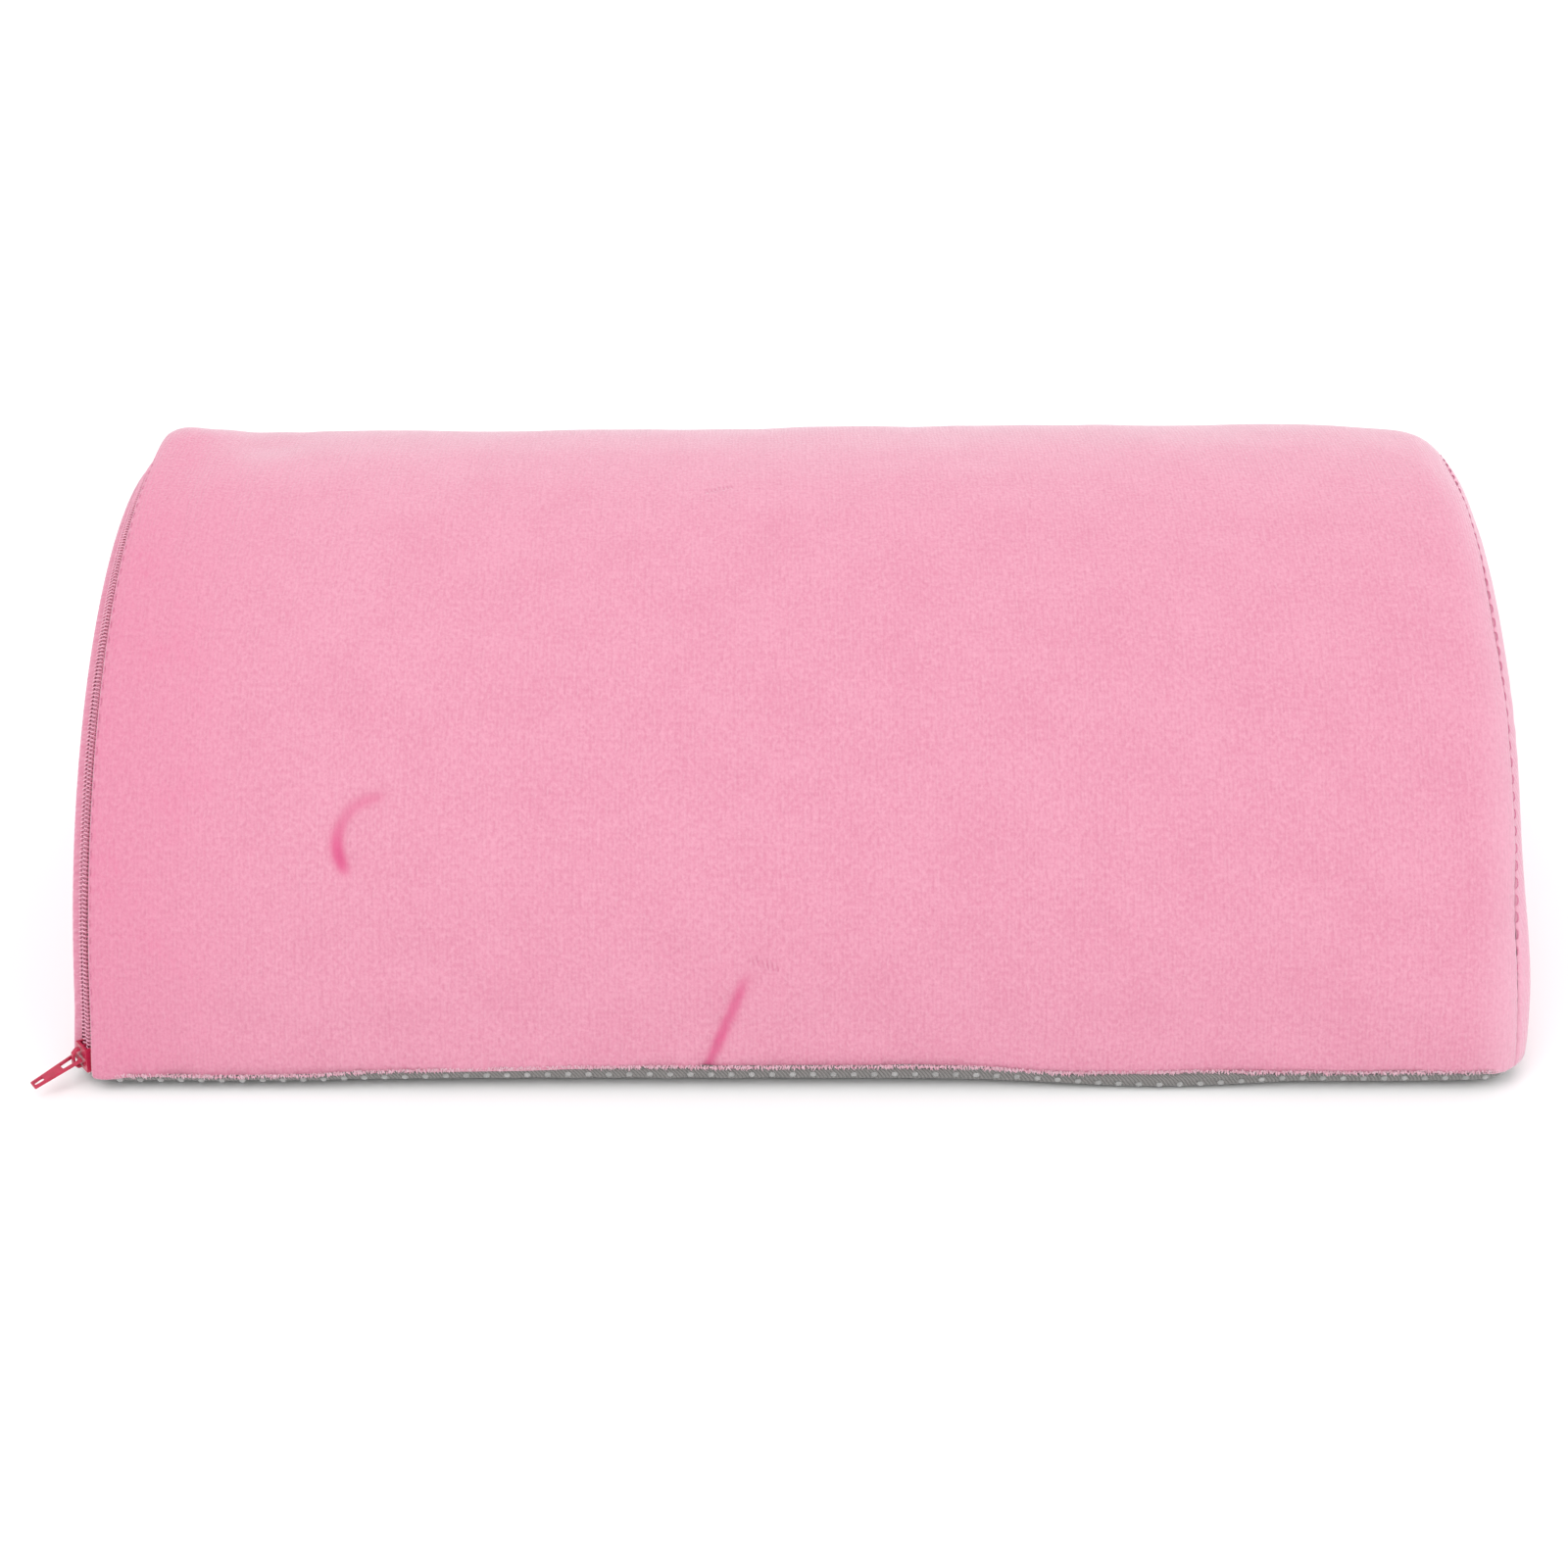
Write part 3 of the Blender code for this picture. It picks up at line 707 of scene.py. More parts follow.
@dataclass
class Bladder:
    """The whole cover blown up a little over its foam, which shows how each sewn panel swells."""

    form: Form
    inset: float = 0.0010
    voxel: float = 0.006
    pressure: float = 4.0
    cap: float = 0.0030
    frames: int = 20
    held_foot: float = 0.010
    held_seam: float = 0.007
    held_zip: float = 0.010

    def shell(self) -> bpy.types.Object:
        """A closed shape through half-round rings, inset from the cover's face."""
        form = self.form
        turn = np.linspace(0, math.pi / 2, 6)
        left_x, left_r = form.edge_profile(-1, turn, self.inset)
        right_x, right_r = form.edge_profile(1, turn[::-1], self.inset)
        x, r = np.concatenate([left_x, right_x]), np.concatenate([left_r, right_r])
        share = np.linspace(0, 1, 60)
        rings = form.arch(x[:, None], r[:, None], form.spread(r[:, None], share[None]))
        return ring_solid("bladder", rings)

    def blown(self) -> bpy.types.Object:
        """Simulates the cloth and returns the swollen shape.

        Returns:
            An object with the cloth after the last frame, no point moved by more than the cap.
        """
        thing = self.shell()
        remesh = thing.modifiers.new("remesh", "REMESH")
        remesh.mode = "VOXEL"
        remesh.voxel_size = self.voxel
        graph = bpy.context.evaluated_depsgraph_get()
        fine = bpy.data.meshes.new_from_object(thing.evaluated_get(graph))
        thing.modifiers.clear()
        thing.data = fine
        rest = coordinates(thing)
        form = self.form
        r = np.hypot(rest[:, 1], rest[:, 2])
        held = rest[:, 2] < self.held_foot
        for side, turn, reach in (
            (1, form.seam_turn, self.held_seam),
            (-1, form.zip_turn, self.held_zip),
        ):
            line_x, line_r = form.edge_profile(side, turn)
            held |= np.hypot(rest[:, 0] - line_x, r - line_r) < reach
        pins = thing.vertex_groups.new(name="pins")
        pins.add(np.flatnonzero(held).tolist(), 1.0, "REPLACE")
        cloth = thing.modifiers.new("cloth", "CLOTH")
        cloth.settings.vertex_group_mass = "pins"
        cloth.settings.use_pressure = True
        cloth.settings.uniform_pressure_force = self.pressure
        cloth.settings.effector_weights.gravity = 0.0
        cloth.settings.quality = 5
        cloth.point_cache.frame_start = 1
        cloth.point_cache.frame_end = self.frames
        for now in range(1, self.frames + 1):
            bpy.context.scene.frame_set(now)
        moved = coordinates(thing) - rest
        length = np.linalg.norm(moved, axis=1, keepdims=True)
        moved *= np.minimum(1.0, self.cap / np.maximum(length, 1e-9))
        thing.modifiers.clear()
        bpy.context.scene.frame_set(1)
        thing.data.vertices.foreach_set("co", (rest + moved).astype(np.float32).ravel())
        thing.data.update()
        return thing


class Cover:
    """The velour cover: a top panel over the arc and two D-shaped end panels."""

    def __init__(self, form: Form, marks: Marks, blown: bpy.types.Object | None) -> None:
        """Keeps the form, the marks and the swollen shape, if it was simulated."""
        self.form = form
        self.marks = marks
        self.blown = blown

    def swell(self, points: np.ndarray, normals: np.ndarray, guess: np.ndarray) -> np.ndarray:
        """How far the swollen shape stands out of the nominal face, along its normals.

        Args:
            points: a grid of places on the nominal face.
            normals: their unit normals.
            guess: what to use where nothing was simulated.

        Returns:
            A smoothed height at each place.
        """
        if self.blown is None:
            return guess
        feeler = mesh_piece("feeler", points.reshape(-1, 3), np.array([[0, 1, 2]]))
        wrap = feeler.modifiers.new("wrap", "SHRINKWRAP")
        wrap.target = self.blown
        wrap.wrap_method = "NEAREST_SURFACEPOINT"
        found = coordinates(feeler).reshape(points.shape)
        bpy.data.objects.remove(feeler)
        height = ((found - points) * normals).sum(-1)
        return blurred(np.clip(height, -0.002, 0.003), 14)

    def top_grid(self, rows: int = 250, columns: int = 330) -> tuple[np.ndarray, np.ndarray]:
        """The top panel: its profile, left edge to right seam, carried over the half-round.

        Args:
            rows: points from left to right.
            columns: points from the front foot to the rear foot.

        Returns:
            (points, UV map): places and flat places, both as grids.
        """
        form = self.form
        start = form.zip_turn + form.slot_turn
        left = form.edge * (math.pi / 2 - start)
        straight = 2 * (form.half_length - form.edge)
        right = form.edge * (math.pi / 2 - form.seam_turn)
        s = crowded(rows, 0.86) * (left + straight + right)
        left_x, left_r = form.edge_profile(-1, start + np.clip(s, 0, left) / form.edge)
        past = np.clip(s - left - straight, 0, right)
        right_x, right_r = form.edge_profile(1, math.pi / 2 - past / form.edge)
        middle = -form.half_length + form.edge + (s - left)
        x = np.where(s < left, left_x, np.where(s > left + straight, right_x, middle))
        r = np.where(s < left, left_r, np.where(s > left + straight, right_r, form.radius))
        angle = form.spread(r[:, None], crowded(columns, 0.70)[None])
        points = form.arch(x[:, None], r[:, None], angle)
        normals = grid_normals(points)
        normals *= np.sign((normals * (points * [0, 1, 1])).sum(-1, keepdims=True).mean())
        u = np.broadcast_to((s - left - straight / 2)[:, None], angle.shape)
        v = form.radius * angle
        guess = 0.0012 * np.sin(math.pi * s / s[-1])[:, None] ** 0.5 * np.ones_like(angle)
        height = self.swell(points, normals, guess)
        height = height + 0.0005 * waves(points, 0.085, 11) + 0.00016 * waves(points, 0.022, 12)
        slack = smooth(-u, 0.160, 0.185)
        uneven = 0.6 + 0.4 * np.sin(v * 31 + u * 90)
        height += 0.00042 * slack * uneven * np.sin(u * 2 * math.pi / 0.017 + 1.9 * np.sin(v * 22))
        to_seam = (s[-1] - s)[:, None]
        crown = smooth(u, -0.06, 0.09) * smooth(angle, 0.6, 1.0) * smooth(-angle, -2.6, -1.9)
        height += 0.0020 * crown * smooth(to_seam, 0.004, 0.045)
        height = height * (1 - bell(s, 0.012))[:, None]
        height = height + self.marks.dents(u, v) + self.belly(points)
        height += pucker(v, to_seam)
        height -= curl(to_seam, *SEAM_ROLL)
        height -= curl(s[:, None], *ZIP_ROLL)
        height -= self.tuck(points)
        return points + normals * height[..., None], np.stack([u, v], -1)

    def belly(self, points: np.ndarray) -> np.ndarray:
        """How far the lower right front corner stands out: a bell in height, faded both ways."""
        x, y, z = points[..., 0], points[..., 1], points[..., 2]
        return 0.0020 * bell(z - 0.026, 0.022) * smooth(-y, 0.05, 0.12) * smooth(x, 0.14, 0.215)

    def tuck(self, points: np.ndarray) -> np.ndarray:
        """How far the cloth goes in behind the base's edge, below the sewn border."""
        above = points[..., 2] - self.form.border(points)
        eased = 0.0011 * bell(above, 0.012) if self.blown is not None else 0.0
        return 0.0022 * smooth(-above, 0.0, 0.0030) - eased

    def end_grid(
        self, side: int, last_turn: float, rows: int = 190, columns: int = 96
    ) -> tuple[np.ndarray, np.ndarray]:
        """An end panel: a half disc whose profile is flat and then goes over the rounded edge.

        A square u by v becomes the half disc with ring max(|u|, v), so there is no pole.

        Args:
            side: -1 for the left end, 1 for the right.
            last_turn: the turn of the rounded edge at which the panel ends.
            rows: points from front to rear.
            columns: points from foot to crown.

        Returns:
            (points, UV map), both as grids.
        """
        form = self.form
        across, upward = np.linspace(-1, 1, rows), np.linspace(0, 1, columns)
        u = (across + 0.74 * np.sin(math.pi * across) / math.pi)[:, None]
        v = (upward + 0.74 * np.sin(math.pi * upward) / math.pi)[None]
        ring = np.maximum(np.abs(u), v)
        safe_u, safe_v = np.where(np.abs(u) < 1e-9, 1e-9, u), np.maximum(v, 1e-9)
        low = math.pi / 4 * v / np.abs(safe_u)
        lower = np.where(u < 0, low, math.pi - low) / math.pi
        share = np.where(v > np.abs(u), 0.5 + 0.25 * u / safe_v, lower)
        flat = form.radius - form.edge
        q = ring * (flat + form.edge * last_turn)
        turn = np.clip((q - flat) / form.edge, 0, last_turn)
        edge_x, edge_r = form.edge_profile(side, turn)
        x = np.where(q > flat, edge_x, side * form.half_length)
        r = np.where(q > flat, edge_r, q)
        points = form.arch(x, r, form.spread(form.radius, share))
        points[..., 2] += form.foot * (1 - r / form.radius)
        radial = unit(points * [0, 1, 1])
        normals = radial * np.sin(turn)[..., None]
        normals[..., 0] = side * np.cos(turn)
        guess = 0.0022 * (1 - ring**2)
        height = self.swell(points, normals, guess)
        height = height + 0.0004 * waves(points, 0.06, 21 + side)
        to_edge = (1 - ring) * (flat + form.edge * last_turn)
        if side < 0:
            height = np.maximum(height, 0.0) * (1 - bell(to_edge, 0.010))
            height -= curl(to_edge, *ZIP_ROLL)
        else:
            height += self.belly(points) + 0.0009 * smooth(to_edge, 0.001, 0.006)
            height += pucker(form.radius * share * math.pi, to_edge)
            height -= curl(to_edge, *SEAM_ROLL)
        height -= self.tuck(points)
        return points + normals * height[..., None], points[..., 1:]

    def build(self, velour: Velour) -> None:
        form = self.form
        top = grid_piece("cover_top", *self.top_grid(), flip=False)
        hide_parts("top_panel")
        made = [top]
        for side, turn, name, node in (
            (-1, form.zip_turn - form.slot_turn, "cover_end_left", "end_panel_left"),
            (1, form.seam_turn, "cover_end_right", "end_panel_right"),
        ):
            end = grid_piece(name, *self.end_grid(side, turn), flip=side > 0)
            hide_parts(node)
            made.append(end)
        for piece in made:
            nap = Nap.TOP if piece is top else Nap.END
            piece.data.materials.append(velour.material("velour_" + nap.value, nap, self.marks))
            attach(piece, "cushion")
            face_out(piece)


def face_out(piece: bpy.types.Object) -> None:
    """Turns a sheet's faces over if they look towards the cushion's middle."""
    centres, normals = face_places(piece.data)
    middle = np.array([0.0, 0.0, 0.03])
    if ((centres - middle) * normals).sum() < 0:
        piece.data.flip_normals()


@dataclass
class Base:
    """The non-slip base cloth, turned up round the foot, with its clear dots."""

    form: Form
    lift: float = 0.0006
    inset: float = 0.0006
    corner: float = 0.015
    dot_margin: float = 0.0085
    dot_turn: float = math.radians(68)
    dot_pitch: float = 0.0063
    dot_radius: float = 0.0011
    dot_height: float = 0.0005

    def outline(self, share: np.ndarray, inset: np.ndarray) -> tuple[np.ndarray, np.ndarray]:
        """The rounded rectangle of the foot and its outward direction.

        Args:
            share: places round it, 0 to 1, anticlockwise from the front left corner.
            inset: how far inside the foot's outer line.

        Returns:
            (places in x and y, unit vectors outwards).
        """
        c = self.corner
        half_x, half_y = self.form.half_length - c, self.form.radius - c
        sides = np.array([2 * half_x, c * math.pi / 2, 2 * half_y, c * math.pi / 2] * 2)
        marks = np.concatenate([[0], np.cumsum(sides)])
        s = (share % 1.0) * marks[-1]
        part = np.clip(np.searchsorted(marks, s, side="right") - 1, 0, 7)
        t = (s - marks[part]) / sides[part]
        quarter = part // 2
        turning = part % 2 == 1
        heading = (quarter + np.where(turning, t, 0.0)) * math.pi / 2 - math.pi / 2
        out = np.stack([np.cos(heading), np.sin(heading)], -1)
        signs = np.array([[1, -1], [1, 1], [-1, 1], [-1, -1]])
        corner = signs[quarter] * np.array([half_x, half_y])
        before = signs[(quarter + 3) % 4] * np.array([half_x, half_y])
        run = np.where(turning[..., None], corner, before + (corner - before) * t[..., None])
        return run + out * (c - inset)[..., None], out

    def roundness(self, x: np.ndarray, y: np.ndarray) -> np.ndarray:
        """The radius of the turned-up edge; the cloth is baggy and squarer at the front's right."""
        front = smooth(-y, 0.10, 0.14)
        baggy = bell(x - 0.111, 0.046) + 0.4 * bell(x - 0.188, 0.022)
        return 0.0095 - 0.0072 * front * baggy

    def cloth(self, around: int = 1100) -> bpy.types.Object:
        """The base cloth as rings: flat, round the edge, up the wall and in behind the cover.

        Args:
            around: points in each ring.

        Returns:
            The piece.
        """
        share = np.linspace(0, 1, around, endpoint=False)
        place, out = self.outline(share, np.zeros(around))
        turn = self.roundness(place[:, 0], place[:, 1])
        top = self.form.border(raised(place, 0.0)) - 0.0002
        baggy = 0.0009 * smooth(place[:, 0], 0.05, 0.10) * smooth(-place[:, 1], 0.12, 0.145)
        rings = []
        for scale in (0.02, 0.2, 0.4, 0.6, 0.8, 0.92):
            inner, _ = self.outline(share, turn)
            rings.append(raised(inner * scale, self.lift))
        for t in np.linspace(0, math.pi / 2, 8):
            at, _ = self.outline(share, self.inset + turn * (1 - math.sin(t)))
            rise = self.lift + np.minimum(turn, top - self.lift) * (1 - math.cos(t))
            rings.append(raised(at, rise))
        corner_height = np.minimum(turn + self.lift, top)
        for t in np.linspace(0.2, 1.0, 5):
            bulge = baggy * math.sin(math.pi * t)
            at = place + out * (bulge - self.inset)[:, None]
            height = corner_height + (np.maximum(top, corner_height) - corner_height) * t
            rings.append(raised(at, height))
        height = rings[-1][:, 2]
        for t in (0.35, 0.75, 1.0):
            at = place - out * (self.inset + 0.0022 * t**1.5)
            rings.append(raised(at, height + 0.0003 * math.sin(math.pi * t)))
        points = np.stack(rings)
        points[..., 2] += 0.00012 * waves(points, 0.012, 31) * smooth(points[..., 2], 0.001, 0.003)
        faces = grid_faces(len(rings), around, wrap=True)
        middle = np.array([[0.0, 0.0, self.lift]])
        flat = np.concatenate([points.reshape(-1, 3), middle])
        j = np.arange(around)
        fan = np.stack([j, (j + 1) % around, np.full(around, len(rings) * around)], -1)
        piece = mesh_piece("base_cloth", flat, faces, fan)
        agree(piece.data)
        centres, normals = face_places(piece.data)
        if normals[centres[:, 2] < self.lift + 1e-5, 2].mean() > 0:
            piece.data.flip_normals()
        return piece

    def dot_places(self) -> tuple[np.ndarray, np.ndarray]:
        """Where the dots sit: staggered rows underneath, and one row round the turned-up edge.

        Returns:
            (the dots' middles, unit vectors out of the cloth).
        """
        step, form = self.dot_pitch, self.form
        reach_x, reach_y = form.half_length - self.dot_margin, form.radius - self.dot_margin
        xs = np.arange(-reach_x, reach_x, step)
        ys = np.arange(-reach_y, reach_y, step * 0.866)
        x, y = np.meshgrid(xs, ys, indexing="ij")
        x = x + (np.arange(len(ys)) % 2)[None] * step / 2
        inside = (np.abs(x) < reach_x) & (np.abs(y) < reach_y)
        past_x = np.maximum(np.abs(x) - reach_x + 0.01, 0)
        past_y = np.maximum(np.abs(y) - reach_y + 0.01, 0)
        inside &= np.hypot(past_x, past_y) < 0.0098
        under = np.stack([x[inside], y[inside], np.full(inside.sum(), self.lift)], -1)
        down = np.broadcast_to([0.0, 0.0, -1.0], under.shape)
        length = 2 * (2 * form.half_length + 2 * form.radius)
        length = length - 8 * self.corner + 2 * math.pi * self.corner
        share = np.arange(0, 1, step / length)
        place, out = self.outline(share, np.zeros(len(share)))
        turn = self.roundness(place[:, 0], place[:, 1])
        at, _ = self.outline(share, self.inset + turn * (1 - math.sin(self.dot_turn)))
        wall = np.minimum(turn, form.border(raised(place, 0.0)) - 0.001)
        edge = raised(at, self.lift + wall * (1 - math.cos(self.dot_turn)) + 0.0001)
        face = raised(out * math.sin(self.dot_turn), -math.cos(self.dot_turn))
        return np.concatenate([under, edge]), np.concatenate([down, face])

    def dots(self) -> bpy.types.Object:
        """The clear dots: each is a low dome, of rings about its normal and a flat cap."""
        centre, normal = self.dot_places()
        side = unit(np.cross(normal, GUIDE))
        up = np.cross(normal, side)
        sides, profile = 10, [(1.0, -0.1), (0.84, 0.62), (0.36, 0.97)]
        angle = np.linspace(0, 2 * math.pi, sides, endpoint=False)
        ring = np.cos(angle)[:, None] * side[:, None] + np.sin(angle)[:, None] * up[:, None]
        rings = []
        for wide, high in profile:
            rise = normal[:, None] * self.dot_height * high
            rings.append(centre[:, None] + ring * self.dot_radius * wide + rise)
        points = np.stack(rings, 1).reshape(-1, 3)
        faces = grid_faces(len(profile), sides, wrap=True, flip=True)
        cap = np.arange(sides) + (len(profile) - 1) * sides
        caps = np.stack([cap[[0, 2 * i + 1, 2 * i + 2, 2 * i + 3]] for i in range(sides // 2 - 1)])
        faces = np.concatenate([faces, caps])
        return mesh_piece("base_dots", points, repeated(faces, len(centre), len(rings) * sides))

    def fringe(self, count: int = 9000) -> bpy.types.Object:
        """The velour's pile where it hangs over the sewn border, as short pointed tufts.

        Args:
            count: the number of tufts.

        Returns:
            The piece.
        """
        chance = np.random.default_rng(7)
        share = chance.uniform(0, 1, count)
        place, out = self.outline(share, chance.uniform(-0.0002, 0.0005, count))
        border = self.form.border(raised(place, 0.0))
        root = raised(place, border + chance.uniform(0.0002, 0.0010, count))
        out3 = raised(out, 0.0)
        sideways = np.stack([-out[:, 1], out[:, 0], np.zeros(count)], -1)
        sway = sideways * chance.normal(0, 0.35, (count, 1))
        length = chance.uniform(0.0005, 0.0013, count)[:, None]
        t = np.linspace(0, 1, 4)[None, :, None]
        hang = np.array([0.0, 0.0, -1.0])
        way = out3 * chance.uniform(0.05, 0.45, (count, 1)) + sway + hang
        bend = out3 * 0.25
        paths = root[:, None] + (way[:, None] * t + bend[:, None] * t * (1 - t)) * length[:, None]
        radius = np.array([0.00022, 0.00020, 0.00012, 0.00001])
        return tubes("pile_fringe", paths, radius, 3)

    def build(self, twill: Twill, clear: Plain, pile: Plain) -> None:
        """Makes the cloth, its dots and the fringe above it."""
        cloth = self.cloth()
        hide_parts("base_panel")
        cloth.data.materials.append(twill.material("grey_twill"))
        dots = self.dots()
        dots.data.materials.append(clear.material("clear_dots"))
        fringe = self.fringe()
        # the fringe is paler than the velour: a painted highlight on the pile tips
        fringe.data.materials.append(pile.material("pile_tips_highlight"))
        for piece in (cloth, dots, fringe):
            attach(piece, "cushion")


@dataclass
class Stitching:
    """Rows of separate stitches: the right seam, the base seam and the zip's two rows."""

    form: Form
    pitch: float = STITCH_PITCH
    length: float = 0.0036
    radius: float = 0.00020
    sink: float = 0.0009
    foot_turn: float = 0.055
    sides: int = 6

    def run(self, name: str, line: np.ndarray, normals: np.ndarray) -> bpy.types.Object:
        """Stitches along a line: short tubes whose ends dive into the cloth.

        Args:
            name: the piece's name.
            line: (n, 3) points of the line, evenly enough spaced.
            normals: (n, 3) directions out of the cloth.

        Returns:
            The piece.
        """
        walked = np.concatenate([[0], np.cumsum(np.linalg.norm(np.diff(line, axis=0), axis=1))])
        starts = np.arange(self.pitch * 0.5, walked[-1] - self.length, self.pitch)
        t = np.linspace(0, 1, 7)
        s = starts[:, None] + t[None] * self.length
        places = np.stack([np.interp(s, walked, line[:, i]) for i in range(3)], -1)
        outward = np.stack([np.interp(s, walked, normals[:, i]) for i in range(3)], -1)
        dive = self.sink * (2 * t - 1) ** 4
        thick = self.radius * np.sqrt(np.clip(1.02 - (2 * t - 1) ** 6, 0.02, 1))
        return tubes(name, places - outward * dive[None, :, None], thick, self.sides)

    def arc(self, side: int, turn: float, depth: float) -> tuple[np.ndarray, np.ndarray]:
        """A line over the half-round at a turn of the rounded edge, and its outward directions."""
        x, r = self.form.edge_profile(side, turn, depth)
        x_out, r_out = self.form.edge_profile(side, turn, depth - 0.001)
        angle = np.linspace(self.foot_turn, math.pi - self.foot_turn, 900)
        line = self.form.arch(x, r, angle)
        return line, unit(self.form.arch(x_out, r_out, angle) - line)

    def build(self, thread: Plain, base: Base) -> None:
        """Makes the four rows."""
        form = self.form
        setback = form.slot_turn + 0.0017 / form.edge
        panel, end = form.zip_turn + setback, max(form.zip_turn - setback, 0.0)
        share = np.linspace(0, 1, 2400)
        place, out = base.outline(share, np.full(len(share), 0.0007))
        foot = raised(place, form.border(raised(place, 0.0)) - 0.0004)
        rows = (
            ("stitches_right_arc", "seam_thread_right_arc", self.arc(1, form.seam_turn, 0.0013)),
            ("stitches_zip_panel", "zip_topstitch_panel", self.arc(-1, panel, -0.0001)),
            ("stitches_zip_end", "zip_topstitch_end", self.arc(-1, end, 0.0002)),
            ("stitches_base", "seam_thread_base", (foot, raised(out, 0.0))),
        )
        paint = thread.material("sewing_thread")
        for name, node, (path, outward) in rows:
            piece = self.run(name, path, outward)
            piece.data.materials.append(paint)
            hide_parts(node)
            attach(piece, "cushion")


@dataclass
class Chain:
    """The zip's two coils as wound nylon loops, in the leaning plane of the left end."""

    form: Form
    recess: float = 0.0018
    loop_pitch: float = 0.0013
    loop_near: float = 0.0
    loop_far: float = 0.0025
    coil_height: float = 0.0019
    wire: float = 0.00027
    steps: int = 9
    sides: int = 5
    first: float = 0.048
    last: float = 2.965

    def build(self, nylon: Plain) -> None:
        """Winds both coils along the zip's circle: each loop is an ellipse across the chain."""
        form = self.form
        zip_x, zip_r = form.edge_profile(-1, form.zip_turn, self.recess)
        lean = math.atan(-zip_x * form.lean / (form.half_length * form.radius))
        c, s = math.cos(form.zip_turn), math.sin(form.zip_turn)
        middle = (self.loop_near + self.loop_far) / 2
        reach = (self.loop_far - self.loop_near) / 2 - self.wire
        turns = int((self.last - self.first) * zip_r / self.loop_pitch)
        t = np.linspace(0, 2 * math.pi * turns, turns * self.steps)
        along = self.first + (self.last - self.first) * t / t[-1]
        paint = nylon.material("nylon_coil")
        for sign, name, node in (
            (1, "coil_panel", "zip_coil_panel"),
            (-1, "coil_end", "zip_coil_end"),
        ):
            phase = t + (math.pi if sign < 0 else 0.0)
            across = sign * (middle + reach * np.cos(phase))
            height = -self.coil_height / 2 + (self.coil_height / 2 - self.wire) * np.sin(phase)
            out = height * c - across * s
            r = zip_r + across * c + height * s
            front, up = r * np.cos(along), r * np.sin(along)
            x = zip_x + up * math.sin(lean) - out * math.cos(lean)
            z = up * math.cos(lean) + out * math.sin(lean)
            path = np.stack([x, -front, z], -1)[None]
            radius = np.full(len(t), self.wire)
            radius[[0, -1]] = 1e-5
            piece = tubes(name, path, radius, self.sides)
            piece.data.materials.append(paint)
            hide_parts(node)
            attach(piece, "cushion")


@dataclass
class Foam:
    """The foam block inside the cover."""

    form: Form
    depth: float = 0.0055
    first_turn: float = 0.2
    foot: float = 0.004

    def build(self, finish: Plain) -> None:
        """Makes a closed half-round through rings, smaller than the cover by its depth."""
        form = self.form
        turn = np.linspace(self.first_turn, math.pi / 2, 6)
        left_x, left_r = form.edge_profile(-1, turn, self.depth)
        right_x, right_r = form.edge_profile(1, turn[::-1], self.depth)
        x, r = np.concatenate([left_x, right_x]), np.concatenate([left_r, right_r])
        first = np.arcsin(self.foot / r)[:, None]
        angle = first + (math.pi - 2 * first) * np.linspace(0, 1, 80)[None]
        rings = form.arch(x[:, None], r[:, None], angle)
        block = ring_solid("foam_block", rings)
        block.data.materials.append(finish.material("cream_foam"))
        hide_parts("foam_core")
        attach(block, "cushion")


class Hardware:
    """The model's own zip pieces, which keep their shape and get their finishes."""

    def build(self, tape: Tape, enamel: Plain) -> None:
        """Dresses the tapes, the stops, the slider and the pull."""
        woven, glossy = tape.material("woven_tape"), enamel.material("crimson_enamel_coat")
        finishes = {"zip_tape": woven, "crimson_enamel": glossy}
        for part in frame["record"]["subparts"]:
            node, slot = part["node"], part["material_slot"]
            if slot in finishes:
                thing = frame["nodes"][node]
                thing.data.materials.clear()
                thing.data.materials.append(finishes[slot])
                log.info("dressed %s", node)


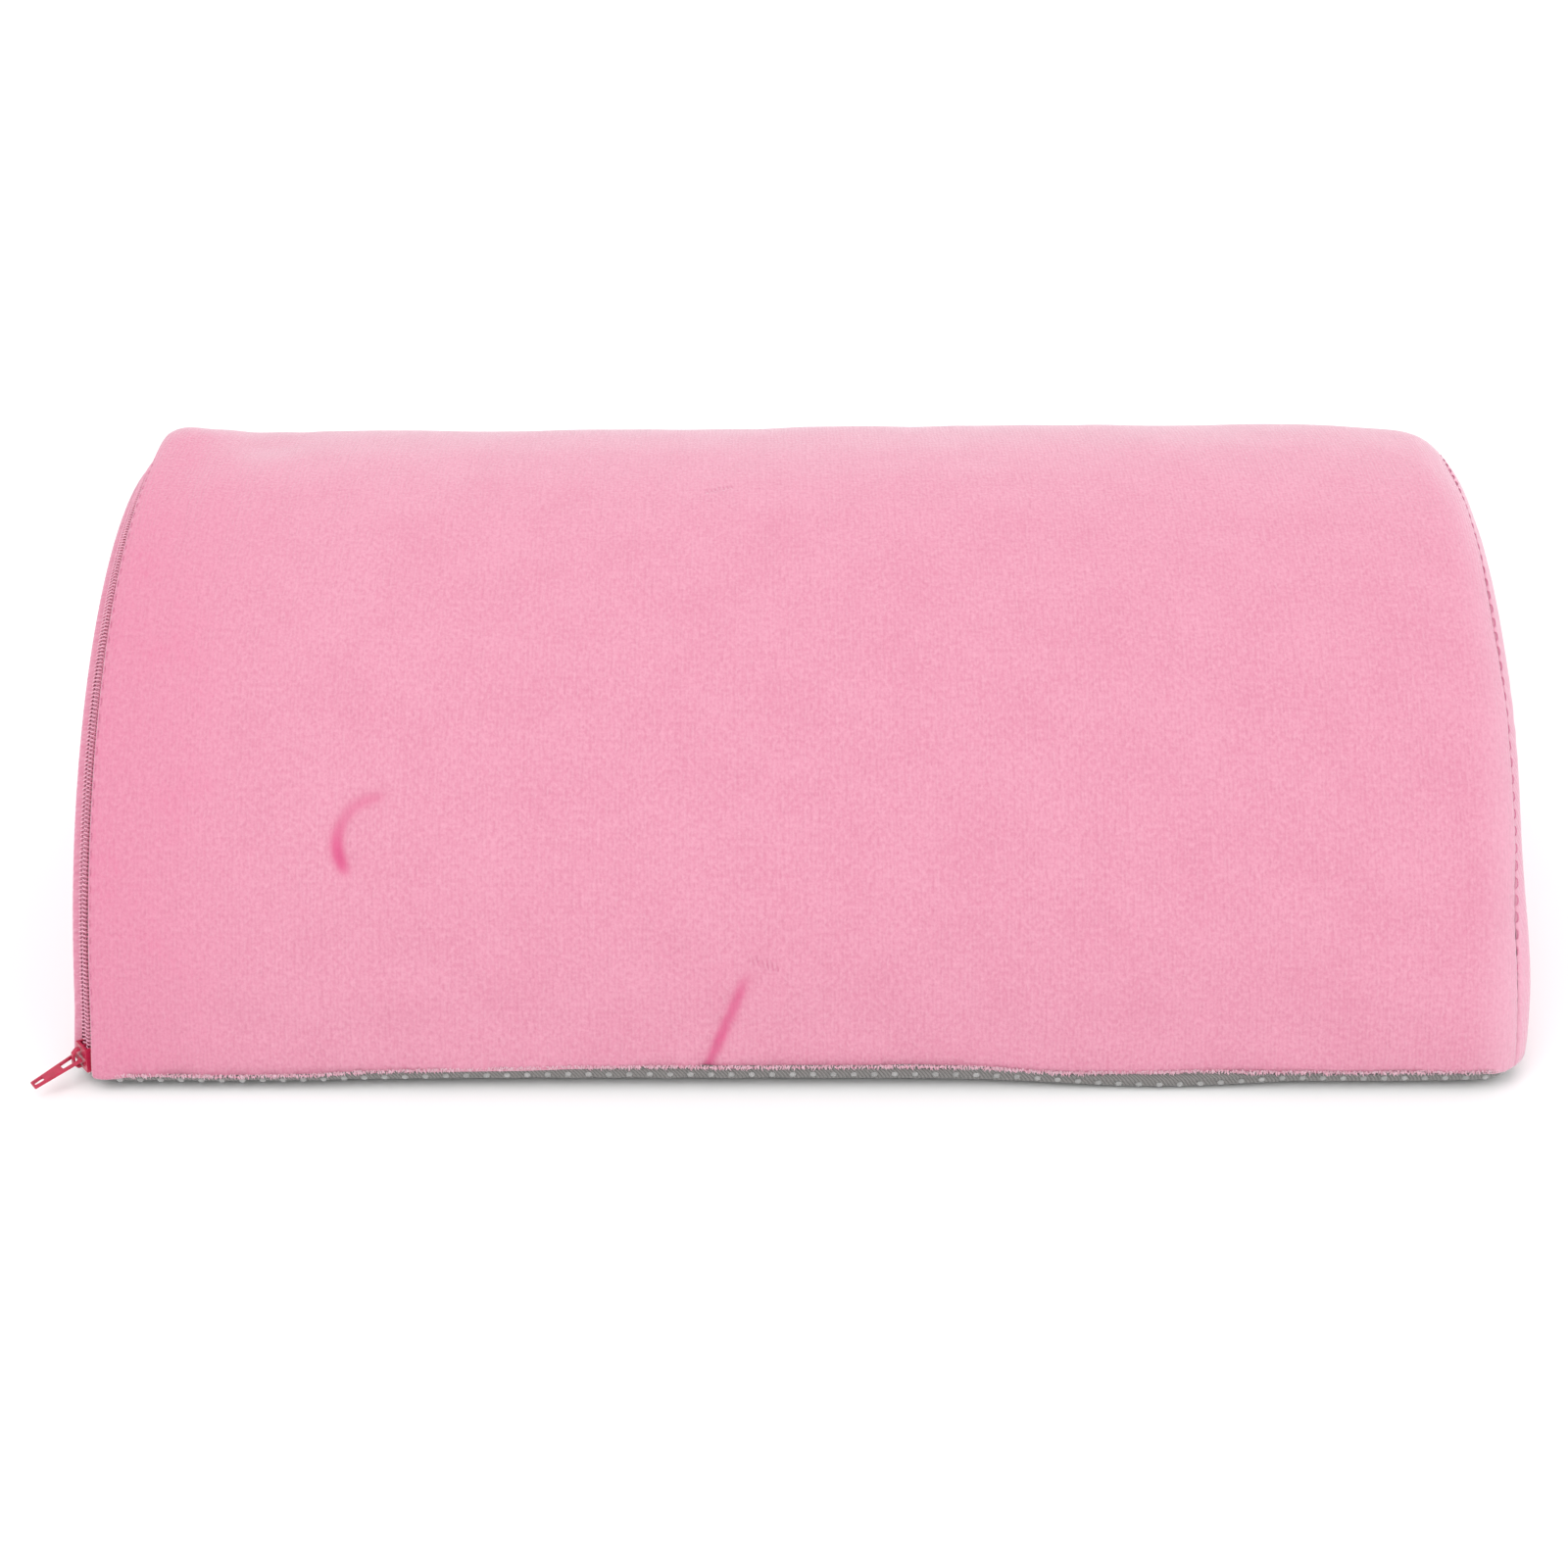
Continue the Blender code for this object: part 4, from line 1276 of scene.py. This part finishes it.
@dataclass
class Studio:
    """A pale floor, soft light from above and a camera a little above the front."""

    look_down: float = 28.0
    lens: float = 66.5
    camera_place: tuple[float, float, float] = (-0.00466, -0.8962, 0.5045)
    floor_reach: float = 4.0
    floor_drop: float = 0.0002
    sky: float = 0.85

    def build(self) -> None:
        """Makes the floor, the lights, the world and the camera."""
        scene = bpy.context.scene
        corners = np.array([[-1, -1], [1, -1], [1, 1], [-1, 1]]) * self.floor_reach
        floor = mesh_piece("floor", raised(corners, -self.floor_drop), np.array([[0, 1, 2, 3]]))
        paint = Paint("floor")
        paint.set(Base_Color=(0.93, 0.93, 0.93, 1.0), Roughness=0.9)
        floor.data.materials.append(paint.material)
        floor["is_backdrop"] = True
        world = bpy.data.worlds.new("studio")
        world.use_nodes = True
        background = world.node_tree.nodes["Background"]
        background.inputs["Color"].default_value = (1.0, 1.0, 1.0, 1.0)
        background.inputs["Strength"].default_value = self.sky
        scene.world = world
        for name, place, aim, size, power in (
            ("key", (-0.7, -1.0, 1.6), (0, 0, 0.05), 1.6, 16.0),
            ("fill", (1.2, -0.9, 0.9), (0, 0, 0.05), 1.4, 7.0),
            ("back", (0.2, 1.3, 1.3), (0, 0, 0.08), 1.4, 9.0),
        ):
            data = bpy.data.lights.new(name, "AREA")
            data.size = size
            data.energy = power
            light = bpy.data.objects.new(name, data)
            light.location = place
            light.rotation_euler = (Vector(aim) - Vector(place)).to_track_quat("-Z", "Y").to_euler()
            scene.collection.objects.link(light)
        camera = bpy.data.objects.new("camera", bpy.data.cameras.new("camera"))
        camera.data.lens = self.lens
        camera.data.sensor_width = 36.0
        camera.data.clip_start = 0.01
        camera.location = self.camera_place
        camera.rotation_euler = (math.radians(90 - self.look_down), 0, 0)
        scene.collection.objects.link(camera)
        scene.camera = camera
        scene.view_settings.view_transform = "Standard"


def main() -> None:
    """Builds the studio and every piece, in order."""
    logging.basicConfig(level=logging.INFO, format="%(message)s")
    low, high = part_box("base_panel")
    form = Form(half_length=(high.x - low.x) / 2, radius=(high.y - low.y) / 2)
    thread = Plain((0.56, 0.15, 0.27, 1.0), (0.68, 0.25, 0.37, 1.0), 0.7, 1800.0, 0.00008)
    # the coil's pinks are paler than the velour's: painted light against the shade in the zip's
    # slot
    nylon = Plain((0.74, 0.32, 0.44, 1.0), (0.82, 0.40, 0.52, 1.0), 0.34, 700.0, 0.0, coat=0.3)
    foam = Plain((0.86, 0.80, 0.62, 1.0), (0.78, 0.71, 0.52, 1.0), 0.9, 420.0, 0.0006)
    clear = Plain((0.27, 0.27, 0.265, 1.0), (0.36, 0.36, 0.355, 1.0), 0.14, 300.0, coat=1.0)
    # the fringe's pinks are paler than the velour's: a painted highlight on the pile tips
    pile = Plain((0.74, 0.36, 0.46, 1.0), (0.82, 0.56, 0.64, 1.0), 0.9, 900.0, sheen=0.6)
    enamel = Plain((0.43, 0.006, 0.045, 1.0), (0.50, 0.010, 0.062, 1.0), 0.36, 400.0, coat=0.25)
    Studio().build()
    blown = Bladder(form).blown()
    Foam(form).build(foam)
    Cover(form, Marks(), blown).build(Velour())
    base = Base(form)
    base.build(Twill(), clear, pile)
    Stitching(form).build(thread, base)
    Chain(form).build(nylon)
    Hardware().build(Tape(), enamel)
    if blown is not None:
        bpy.data.objects.remove(blown)
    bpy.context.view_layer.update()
    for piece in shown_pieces():
        log.info("%s: %d faces", piece.name, len(piece.data.polygons))


if __name__ == "__main__":
    main()
